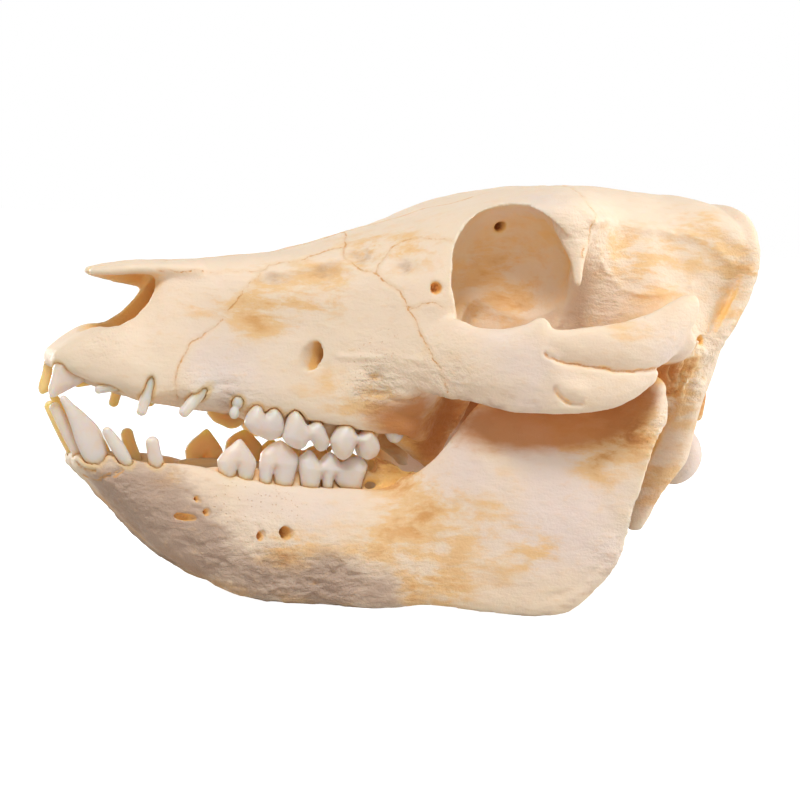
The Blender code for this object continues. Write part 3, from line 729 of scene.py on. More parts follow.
cranium = {
    # Half rings at each x, from the palate's midline round the side to the top
    "rings": {
        -96.6: ((0, 2.5, 4.6, 5.6, 5.8, 5.4, 4.2, 2, 0), (59.6, 59.2, 59.4, 60.4, 61.4, 62.4, 63.2, 63.4, 63.2)),
        -92: ((0, 5, 8.6, 9.8, 9.9, 9.4, 7.8, 4.5, 0), (58, 57.6, 58.2, 59.8, 61.8, 64, 66, 66.9, 66.6)),
        -86: ((0, 7, 11.8, 12.9, 12.7, 11.6, 9.2, 5.2, 0), (57, 55.6, 56, 58.5, 61.5, 65.6, 69, 70.4, 70)),
        -80: ((0, 8.5, 13.6, 14.8, 14.4, 12.4, 8.8, 5.4, 0), (56, 53.4, 55, 58, 62.5, 66.8, 70.6, 71.6, 71.6)),
        -75: ((0, 9, 14.4, 15.6, 14.8, 12.4, 8.6, 5.4, 0), (54.5, 51.8, 54, 57.6, 63, 68.8, 74, 75, 75)),
        -71: ((0, 9.5, 15, 16.4, 15.2, 12.8, 8.8, 5.8, 0), (54, 51, 53.2, 57, 64, 71.5, 78, 79.5, 79.5)),
        -67: ((0, 9.5, 15, 16.8, 15.6, 13.4, 10.4, 7, 0), (53.5, 50.6, 53, 57, 64.5, 73, 81, 86, 88.2)),
        -58: ((0, 10, 15.6, 17.5, 15.8, 14.2, 12.2, 8.5, 0), (53, 49.8, 52.6, 56.5, 64.5, 73, 82, 88, 89.9)),
        -48: ((0, 10.8, 15.8, 17.8, 16.6, 15.4, 13.8, 9, 0), (52.5, 49.2, 51, 55.5, 64, 74, 84, 89.6, 91.2)),
        -36: ((0, 12, 18, 19.8, 18.6, 16.8, 15, 10, 0), (53.5, 49.6, 49.8, 55, 64, 74, 84, 90.8, 93)),
        -24: ((0, 13.5, 21, 22.4, 20.5, 19.5, 17.5, 12, 0), (55, 49.4, 48.6, 54.5, 63, 74, 85, 93.6, 96.6)),
        -12: ((0, 14.5, 22.5, 24.8, 26, 25, 22.5, 15, 0), (55, 48.5, 47.4, 54, 62, 75, 88, 97.4, 100.6)),
        -2: ((0, 14, 22.4, 25.6, 31, 31, 28.5, 18.5, 0), (54.5, 47.5, 46, 53, 63, 77, 90, 100.8, 104)),
        7: ((0, 13, 17, 20, 27, 31, 32, 22.5, 0), (53, 46.5, 46, 54, 64, 79, 94.5, 105, 107.4)),
        16: ((0, 8, 12.5, 14, 14, 14.6, 31, 26, 0), (64, 62, 60, 64, 71, 84, 101, 108.6, 110)),
        26: ((0, 8, 12, 13.5, 14, 14.6, 31.5, 27.5, 0), (62, 60, 59, 64, 72, 85, 102.5, 111, 113)),
        36: ((0, 8, 13, 16, 17.5, 19.5, 33, 29, 0), (59, 57, 57, 63, 72, 86, 101, 112.5, 115)),
        44: ((0, 8, 14, 19, 22, 23.5, 31, 27, 0), (56, 54, 55, 62, 73, 86, 101, 112.5, 116)),
        54: ((0, 8, 16, 24, 27, 27.5, 25.5, 19.5, 0), (52, 50, 53, 61, 73, 86, 99, 111, 116.4)),
        64: ((0, 8, 17, 27, 30.5, 29, 25.5, 18.5, 0), (48, 46.5, 50.5, 62, 74, 87, 99, 110, 116.4)),
        74: ((0, 8, 18, 28, 31, 27.5, 24, 18, 0), (44, 43, 48, 62, 74, 87, 99, 110, 116)),
        84: ((0, 7, 14, 21.5, 26, 25, 24.5, 20, 0), (41, 41, 46, 59, 74, 88, 100, 110.5, 115.6)),
        91: ((0, 6, 10, 15, 19.5, 23, 25.5, 21.5, 0), (61, 61.5, 63.5, 68, 76, 88, 99, 109, 113.8)),
        94: ((0, 5, 9, 12, 16, 21, 24.5, 20, 0), (66, 66, 69, 75, 83, 91, 99, 106.5, 110)),
    },
    # Rods and plates: rows of x, y, z and two half sizes, across the rod. They are along Y and Z in
    # the first list, along X and Z in the next two, and along X and Y in levelRods.
    "acrossRods": [
        [  # cheek arch
            (-16, 19, 64, 2, 2.6), (-7, 25.4, 65.6, 3, 6), (3, 32.8, 68.2, 4.8, 10.6),
            (10, 37.4, 67, 4.6, 10.4), (15.5, 40.6, 66.5, 4, 10.9), (21, 42.8, 66.8, 3.4, 12),
            (26, 43.8, 68, 3, 13.2), (29, 44.3, 66.6, 2.8, 11.6), (32, 44.6, 63, 2.8, 7.9),
            (39, 45, 62.9, 2.7, 7), (47, 44.8, 63.2, 2.5, 5.8), (55, 43.8, 65.3, 2.3, 3.9),
            (60.6, 42.7, 67.6, 1.8, 2),
        ],
        [  # its rear half, over the first
            (28.4, 44.7, 74.2, 2.3, 3.9), (37, 45.3, 74, 2.7, 4.7), (46, 45.4, 74.6, 2.9, 5.9),
            (55, 44.5, 76, 3, 7.5), (62, 43.1, 78.3, 3.1, 8.3), (67, 41.7, 81.6, 3, 7.4),
            (70.6, 40.6, 84.6, 2.7, 5), (72.8, 40, 85.6, 2.1, 2.6),
        ],
        [  # inner wall of the upper tooth sockets
            (-47, 13, 50.6, 1.8, 2.6), (-34, 14, 48.8, 1.9, 3.2), (-20, 15.2, 46.8, 2, 3.6),
            (-8, 16.2, 45.4, 2, 3.2),
        ],
        [  # nose bone over the notch
            (-87.8, 2.2, 84.8, 1.9, 1.2), (-84.5, 3.2, 85.2, 3, 1.4), (-80, 4, 85.9, 3.9, 1.5),
            (-74, 4.4, 86.6, 4.6, 1.7), (-67, 4.8, 86.8, 5.6, 2.1), (-58, 5.2, 86.8, 6, 3),
        ],
    ],
    "archRoot": [(66, 24, 72, 9, 6), (66.5, 31, 73, 8, 4.2), (66.5, 37, 74.5, 7, 4.2), (66.5, 42, 77, 6, 4)],
    "neckCrest": [
        (92, 0, 111.5, 3.2, 3.2), (93.4, 10, 110.8, 3.2, 3.2), (94.6, 18, 107.8, 3.1, 3.1),
        (95, 23.5, 102, 3, 3), (94.6, 25, 95.5, 2.9, 2.9), (91.6, 25.5, 86.5, 2.9, 2.9),
        (86.5, 26.2, 77.5, 3, 3), (80.5, 26.5, 69.5, 3.2, 3.2),
    ],
    "levelRods": [
        [  # spike below the ear
            (78.5, 25, 66, 6, 3.4), (78.4, 23.6, 57, 5, 3), (76.8, 22.4, 49, 5.6, 2.8),
            (75.2, 22, 43, 6, 2.7), (72.2, 21.4, 37, 5.2, 2.5), (69.9, 20.8, 31.4, 4, 2.2),
            (68.6, 20.2, 26, 3.1, 1.9), (67.6, 20, 22.4, 2, 1.3),
        ],
        [(62, 19, 58, 6, 5), (63, 18.4, 49, 6.5, 5.4), (64, 17.6, 41, 5, 4.4), (64.4, 17, 35.4, 2.4, 2.2)],
        [(68, 24, 62, 4, 4), (72, 28.5, 70, 3.4, 3.4), (74.6, 32.4, 77, 3.2, 3.2)],
        [
            (10, 14, 61, 11, 3), (6, 14.2, 53, 12, 3), (4, 14, 46.4, 10, 2.6), (6.4, 13.2, 41.4, 5.4, 2),
            (9, 12.4, 38, 2.6, 1.5), (10.6, 12, 35.4, 1.3, 1.1),
        ],
        [(90, 4.6, 72, 3, 3), (91, 4.4, 63, 2.4, 2.6), (91.2, 4.2, 57, 2.1, 2.3), (91.2, 4.2, 52.6, 1.5, 1.7)],
    ],
    "browSpur": [
        (38.4, 28, 108.4, 3.2, 5.8), (38.9, 30, 103.8, 2.6, 4.9), (39.3, 31.6, 99.8, 2.1, 3.3),
        (39.6, 32.8, 96, 1.7, 1.9), (39.6, 33.6, 92.6, 1.2, 1.2), (39.6, 34, 89.8, 0.8, 0.7),
    ],
    "orbitCrest": [
        (41.2, 28, 100, 1.6, 2), (42.4, 24.8, 94, 1.6, 1.8), (42.8, 22.2, 88, 1.6, 1.8),
        (42, 20.4, 82, 1.6, 1.8), (40.2, 18.8, 76, 1.6, 1.8), (38, 17, 70, 1.6, 1.8),
    ],
    "noseInside": [  # the partition, then the scrolls of bone on each side
        [(-62, 0, 62, 0.7, 3), (-48, 0, 63, 0.8, 4.4), (-32, 0, 63.4, 0.8, 4.6), (-18, 0, 64, 0.8, 3.4)],
        [(-63, 7, 69.6, 2, 2.2), (-54, 7, 70.2, 3, 4), (-42, 7.2, 70.6, 3.2, 5), (-30, 6.4, 71.2, 2.8, 4.4),
         (-21, 5.2, 71.6, 1.8, 2.6)],
        [
            (-60, 5.6, 80.6, 1.6, 1.6), (-50, 6, 81.4, 2.2, 2.6), (-38, 6.2, 82.4, 2.4, 3),
            (-26, 5.4, 82.6, 2, 2.4),
        ],
    ],
    "rightNoseLip": [
        (-86, 3.4, 84.2, 1.3, 1), (-82, 4.8, 84, 1.5, 1.7), (-77, 6.1, 83.8, 1.5, 2.2),
        (-72, 7, 83.8, 1.6, 2.6), (-66, 7.8, 84.4, 1.8, 3.2),
    ],
    "condyle": ((82.5, 11, 43.4), (7.8, 6.4, 8.6)),
    # Hollows: eggs, then passages along the midline as x, half width, floor and roof
    "eggHollows": [
        ((23.4, 27, 90), (19.4, 15.5, 20.4)),
        ((62.5, 33.6, 63.4), (6.6, 9, 5.4)), ((0.6, 30, 86.6), (1.6, 3.6, 1.8)), ((-76, 4, 56), (6, 1.8, 7)),
        ((-72.4, 17.2, 54.4), (2.3, 3.4, 5.4)), ((16.5, 27, 88), (13, 15, 14)),
        ((23.5, 13, 104.4), (1.5, 4.2, 1.5)),
    ],
    "cheekHole": [(-42, 23.4, 66.8, 3.4, 2.2), (-35, 21, 66.5, 3.6, 3.4), (-28.8, 18.6, 66.2, 3.6, 4.2),
                  (-22, 15, 66.6, 2.9, 3.5), (-16, 12, 67, 2, 3)],
    "passages": [
        [
            (-103, 6, 71, 84), (-92, 6.6, 69.4, 83), (-85, 7.2, 67.6, 83), (-80, 7.4, 64.6, 83),
            (-75, 7.6, 61.8, 83.4), (-68, 8.2, 60.4, 84.2), (-56, 9.2, 60.4, 85.6), (-40, 9.5, 60.4, 87.6),
            (-26, 8, 61, 88), (-14, 5, 63, 84),
        ],
        [(98, 7.4, 38.6, 50.5), (88, 7.4, 41.5, 53), (80, 7, 46, 60), (74, 5, 54, 66)],
        [(34, 6, 45, 58.5), (20, 7.5, 50, 62), (8, 7.5, 55, 63), (-4, 7, 58.5, 64), (-14, 5, 60, 66)],
    ],
    "ridges": [  # raised lines, or grooves where the height is below zero: height, half width, points
        (0.35, 0.8, [
            (48.3, 27.9, 96.3), (53.6, 26.7, 91.4), (56.6, 27.6, 89.1), (61.7, 28.4, 88.3),
            (67.2, 28.3, 88.9), (76.4, 25.8, 91.3),
        ]),
        (0.8, 1.6, [
            (44, 31, 107), (52, 27, 108.5), (62, 25.6, 108.2), (72, 25, 106.8), (82, 24.6, 103.6),
            (88, 25, 99),
        ]),
        (0.5, 1.2, [(-44, 12.4, 86.4), (-34, 12.8, 88.4), (-24, 13, 91), (-18, 14, 93)]),
        (0.4, 0.8, [(-22, 20.6, 66.6), (-15.8, 23.7, 67), (-8.8, 27.9, 67.7), (-3.2, 32.2, 67.2)]),
        (0.7, 1.4, [
            (80.5, 28.6, 73.4), (77.4, 29, 69), (75.3, 28.6, 64.1), (75.8, 25.3, 56.9), (74.3, 21.1, 51),
        ]),
        (0.8, 0.9, [(81.6, 28, 72.6), (79, 30.4, 72.2), (76.4, 32, 72.4)]),
        (-0.9, 0.7, [(30.2, 47.1, 62.6), (31.7, 46.5, 60.5), (34.6, 46.8, 59.1), (38, 47.1, 58.7)]),
        (-0.6, 0.6, [(-8, 25, 56.4), (-3, 26.6, 56.2), (2, 31, 55.8), (7, 35, 56)]),
    ],
    "clefts": [  # open seams and cracks
        [(26.5, 46.6, 71.5), (27.8, 46.6, 70.4), (32.1, 45.9, 69.5), (38.7, 46.1, 68.8), (44.5, 46, 68.3),
         (50.5, 45.8, 68.1), (57, 45.1, 68.8), (60.3, 43.4, 69.2), (62, 43, 70)],
        [(73.4, 32, 72), (74.6, 30.6, 69.5), (73.8, 29.8, 67.6), (74.9, 29.2, 64.8), (73.4, 28.6, 61.4)],
        [(70.2, 31.5, 69), (70.4, 30.4, 66.8), (71.4, 29.4, 65.2)],
    ],
    "shades": [  # painted shade, deep brown, under the cheek arch and other overhangs
        (-9, 24.2, 49.4, 5, 0.4), (-4, 24.6, 49.4, 5, 0.6), (-1, 22.7, 46.6, 5, 0.7), (0, 26.3, 54.4, 5, 0.8),
        (9, 16.4, 50, 8, 0.7), (7.7, 15.4, 42.2, 5, 0.7), (12, 15, 58, 8, 0.6), (69.5, 29, 65.6, 5, 0.8),
        (75, 24, 58, 6, 0.4), (70, 34, 70, 4, 0.7), (75, 22, 44, 8, 0.3), (71, 21, 32, 7, 0.4),
        (-14, 24, 52, 5, 0.3), (-9, 24.6, 54, 5, 0.3), (67, 30, 68, 4, 0.5),
    ],
    "swells": [
        ((12, 40.5, 58.6), (16, 5, 3), -0.9), ((-2, 30, 58), (6, 4, 3), -0.7),
        ((-52.2, 17, 57.6), (3, 3, 1.2), -1), ((-72, 15, 55), (3, 3, 3), 0.7),
        ((-60, 17, 55.6), (3.4, 3, 3), 0.9), ((-39.2, 13.7, 86), (4.4, 4, 2.4), -1.3),
        ((-25, 15.8, 88.6), (5.4, 4, 2.4), -1.5), ((-16, 16, 94), (5, 4, 2.4), -1.5),
        ((-6.3, 23.8, 91.6), (3, 4, 2.2), -1.4), ((-11.4, 26, 61), (8, 4, 5.4), -1),
        ((35.4, 47.6, 62.4), (3.6, 3, 2), 0.8), ((-3, 25, 51.6), (5.4, 4, 2.8), -1.2),
        ((1, 32, 59), (7, 5, 2), 0.6), ((93, 0, 93), (6, 2.4, 13), 1.3), ((93, 9.5, 92), (6, 6, 9), -1.1),
        ((90, 12, 74), (6, 5, 6), -0.8),
    ],
    "seams": [
        [(-42.4, 11.7, 88.2), (-47.5, 14.2, 82.7), (-51.4, 14.6, 77.1), (-57.9, 14.7, 70.1), (-62, 15.2, 67.3),
         (-65.3, 16.5, 60.6), (-65.7, 16.4, 55.3), (-64.5, 15, 53)],
        [(-70, 10, 86), (-56, 11, 87), (-43.5, 11.9, 87.8), (-40, 10.5, 89.6), (-32.7, 10.8, 91.1),
         (-27.2, 10.9, 93), (-22.9, 10.5, 94.7), (-19.6, 11.4, 95.5)],
        [(-19.6, 11.4, 95.5), (-17.5, 6, 98), (-15.5, 0, 99.6)],
        [
            (-87, 0, 86), (-60, 0, 89.6), (-40, 0, 92.4), (-15.5, 0, 99.6), (10, 0, 108.4), (30, 0, 114),
            (46, 0, 116),
        ],
        [(-19.6, 11.4, 95.5), (-20.2, 14.4, 93.1), (-19, 16.2, 92.1), (-16.9, 18.5, 90.1), (-13.7, 21, 89.2),
         (-10.9, 23, 87)],
        [
            (-13.7, 21, 89.2), (-10.9, 19.5, 94), (-4.4, 18.7, 99), (1.6, 23.9, 99.8), (4, 26.8, 99.6),
            (6.8, 28.6, 99),
        ],
        [(-10.9, 23, 87), (-8.3, 25.8, 85), (-6.4, 27.8, 81.4), (-4.7, 29.4, 77.9), (-3, 30.8, 74.3),
         (-1.5, 32.9, 70.8), (-0.3, 34.6, 68), (1, 35.6, 66.2), (2, 36.4, 64.8), (4, 36, 60), (5, 35, 57.5)],
        [(-6.4, 27.8, 81.4), (-4.5, 29.2, 80.9), (-1.9, 30.4, 82.6), (2, 31.4, 82)],
        [(46, 0, 116), (45.4, 10, 115.6), (44.4, 19.5, 114.3), (42.7, 28.3, 112), (44.7, 29.4, 109.7),
         (44.3, 30.6, 107.6), (43.2, 31.5, 105.5), (42.5, 32, 101.7), (40.4, 34.3, 98.4), (41.1, 29.1, 95.6)],
        [(-86, 0, 56), (-60, 0, 51), (-30, 0, 54), (0, 0, 54)],
    ],
    # Staining, with painted shade among it below the root of the cheek arch
    "stainsAndShade": [
        (-59.3, 12.6, 79.3, 7, 0.5), (-42, 15.6, 77.7, 10, 0.7), (-30.1, 17, 81.1, 9, 0.6),
        (-4.6, 22.3, 96.2, 8, 0.6), (-10.7, 14.8, 98.2, 8, 0.5), (30, 16.7, 87.1, 9, 0.6),
        (25.4, 14.2, 83.9, 8, 0.5), (24, 14, 94, 13, 0.6), (-24, 16, 86, 8, 0.4), (-16, 16, 93, 5, 0.4),
        (72, 22, 40, 9, 0.5), (66.8, 26.5, 95.1, 11, 0.7), (55.2, 24.8, 99.8, 9, 0.7),
        (80, 21.9, 106.7, 10, 0.7), (50.6, 46.2, 79.1, 6, 0.5), (10, 14, 54, 13, 1.5), (4, 15, 46, 8, 1.2),
        (-3, 20, 48, 6, 0.8), (72, 33, 70, 6, 1), (76, 24, 60, 8, 0.9), (92, 25.5, 96, 6, 0.9),
        (90, 25, 84, 5, 0.7), (-46, 15, 79, 8, 0.35), (70, 29, 64, 6, 1.5), (74, 21, 36, 8, 0.5),
        (91, 4, 58, 6, 1.6), (93, 0, 78, 10, 0.5), (-30, 20, 54, 8, 0.4), (-18, 23, 52, 8, 0.5),
        (-10, 25, 55, 7, 0.6), (74, 28, 68, 5, 1),
    ],
    # Paler patches; the strongest, on the condyle, is a painted highlight
    "pales": [(-52, 16, 62, 14, 0.7), (30, 30, 112, 12, 0.5), (20, 44, 66, 16, 0.5), (60, 44, 76, 10, 0.6),
              (86, 12, 44, 7, 2.2)],
    # Grey patches, partly painted shade in the dips of the upper cheek and along the cheek arch's lower edge
    "greysAndShade": [
        (-50, 16, 53, 5, 0.7), (-12, 25, 62, 6, 0.25), (-39.2, 13.7, 86.4, 4, 0.5), (-26, 15.8, 89, 4, 0.5),
        (-16, 16, 94, 4, 0.55), (-6.3, 23.8, 91.6, 2.6, 0.6), (-2, 30, 62, 6, 0.2), (24, 42, 57, 9, 0.4),
        (2, 33, 56.6, 3.4, 0.7), (8, 37, 55.6, 3.4, 0.8), (15, 41, 55, 3.4, 0.7), (93, 8, 94, 12, 0.3),
    ],
    "porous": [
        (-14.6, 24.6, 65, 7, 0.9), (-11.2, 25.9, 70.6, 5, 0.8), (-50, 16, 53.5, 6, 0.7),
        (-16.7, 23.8, 59.4, 5, 0.8),
    ],
    "rough": [
        (47.3, 29.1, 102.2, 8, 0.6), (52, 26.8, 91.5, 9, 0.45), (50.4, 25.8, 80.5, 8, 0.4),
        (36, 30, 108, 7, 0.5), (-12, 25.6, 61, 6, 1.2), (-14, 24.6, 57.6, 5, 0.9), (-50, 16, 53, 7, 1.2),
        (-62, 15, 54, 6, 1.1), (2, 38, 60, 10, 1), (10, 14, 50, 12, 1), (84, 25, 74, 9, 1),
        (76, 29, 64, 8, 1), (-84, 10, 68, 5, 0.8), (94, 24, 98, 8, 0.6), (93, 10, 92, 14, 0.8),
        (74, 21, 34, 9, 0.6),
    ],
    "pits": [
        (-15, 21, 87.4, 0.5), (-7, 25.9, 87.4, 0.5), (-62.2, 11.8, 80.4, 0.5), (-69.2, 12.6, 73.7, 0.5),
        (-83.1, 13.6, 61.4, 0.5), (-65.3, 16.4, 61.1, 0.4), (-64.7, 16.7, 59.1, 0.4),
        (18, 12, 109, 0.9), (19.3, 12.6, 78.6, 1), (31.4, 12.8, 82.1, 0.6), (79.6, 28.6, 76.5, 1.3),
    ],
    "triangles": 190000,
    "seed": 100,
}


def craniumForms():
    bm = bmesh.new()
    for rows in cranium["acrossRods"]:
        addRod(bm, rows, (0, 1, 0), (0, 0, 1))
    addRod(bm, cranium["archRoot"], (1, 0, 0), (0, 0, 1))
    addRod(bm, cranium["neckCrest"], (1, 0, 0.1), (0, 0.5, 0.87))
    for rows in cranium["levelRods"]:
        addRod(bm, rows, (1, 0, 0), (0, 1, 0))
    addEgg(bm, *cranium["condyle"])
    addOtherSide(bm)
    addRod(bm, cranium["rightNoseLip"], (0, 1, 0), (0, 0, 1))
    cage = []
    for x, (ys, zs) in cranium["rings"].items():
        half = [(x, y, z) for y, z in zip(ys, zs)]
        cage.append(half + [(x, -y, z) for y, z in zip(ys[-2:0:-1], zs[-2:0:-1])])
    layOnRings(bm, cage, 112, 200)
    return newPiece("cranium_bone", bm)


def browSpurs():
    bm = bmesh.new()
    addRod(bm, cranium["browSpur"], (0, 1, 0), (1, 0, 0))
    addRod(bm, cranium["orbitCrest"], (1, 0, 0), (0, 1, 0))
    for rows in cranium["noseInside"]:
        addRod(bm, rows, (0, 1, 0), (0, 0, 1), 20)
    addOtherSide(bm)
    return newPiece("brow spurs and nose scrolls", bm)


def joinIn(piece, other):
    bm = bmesh.new()
    bm.from_mesh(piece.data)
    bm.from_mesh(other.data)
    bm.to_mesh(piece.data)
    bm.free()
    bpy.data.objects.remove(other)


def craniumHollows():
    bm = bmesh.new()
    for x, y, z, radius in cranium["pits"]:
        addEgg(bm, (x, y, z), (radius, radius * 2.5, radius), 12, 8)
    addRod(bm, cranium["cheekHole"], (1, 0, 0), (0, 0, 1))
    for centre, radii in cranium["eggHollows"]:
        addEgg(bm, centre, radii, 44, 28)
    addOtherSide(bm)
    for rows in cranium["passages"]:
        addPassage(bm, rows)
    cutter = newPiece("hollows", bm)
    fuse(cutter, voxel=0.6, smooth=1)
    return cutter


# Jaw

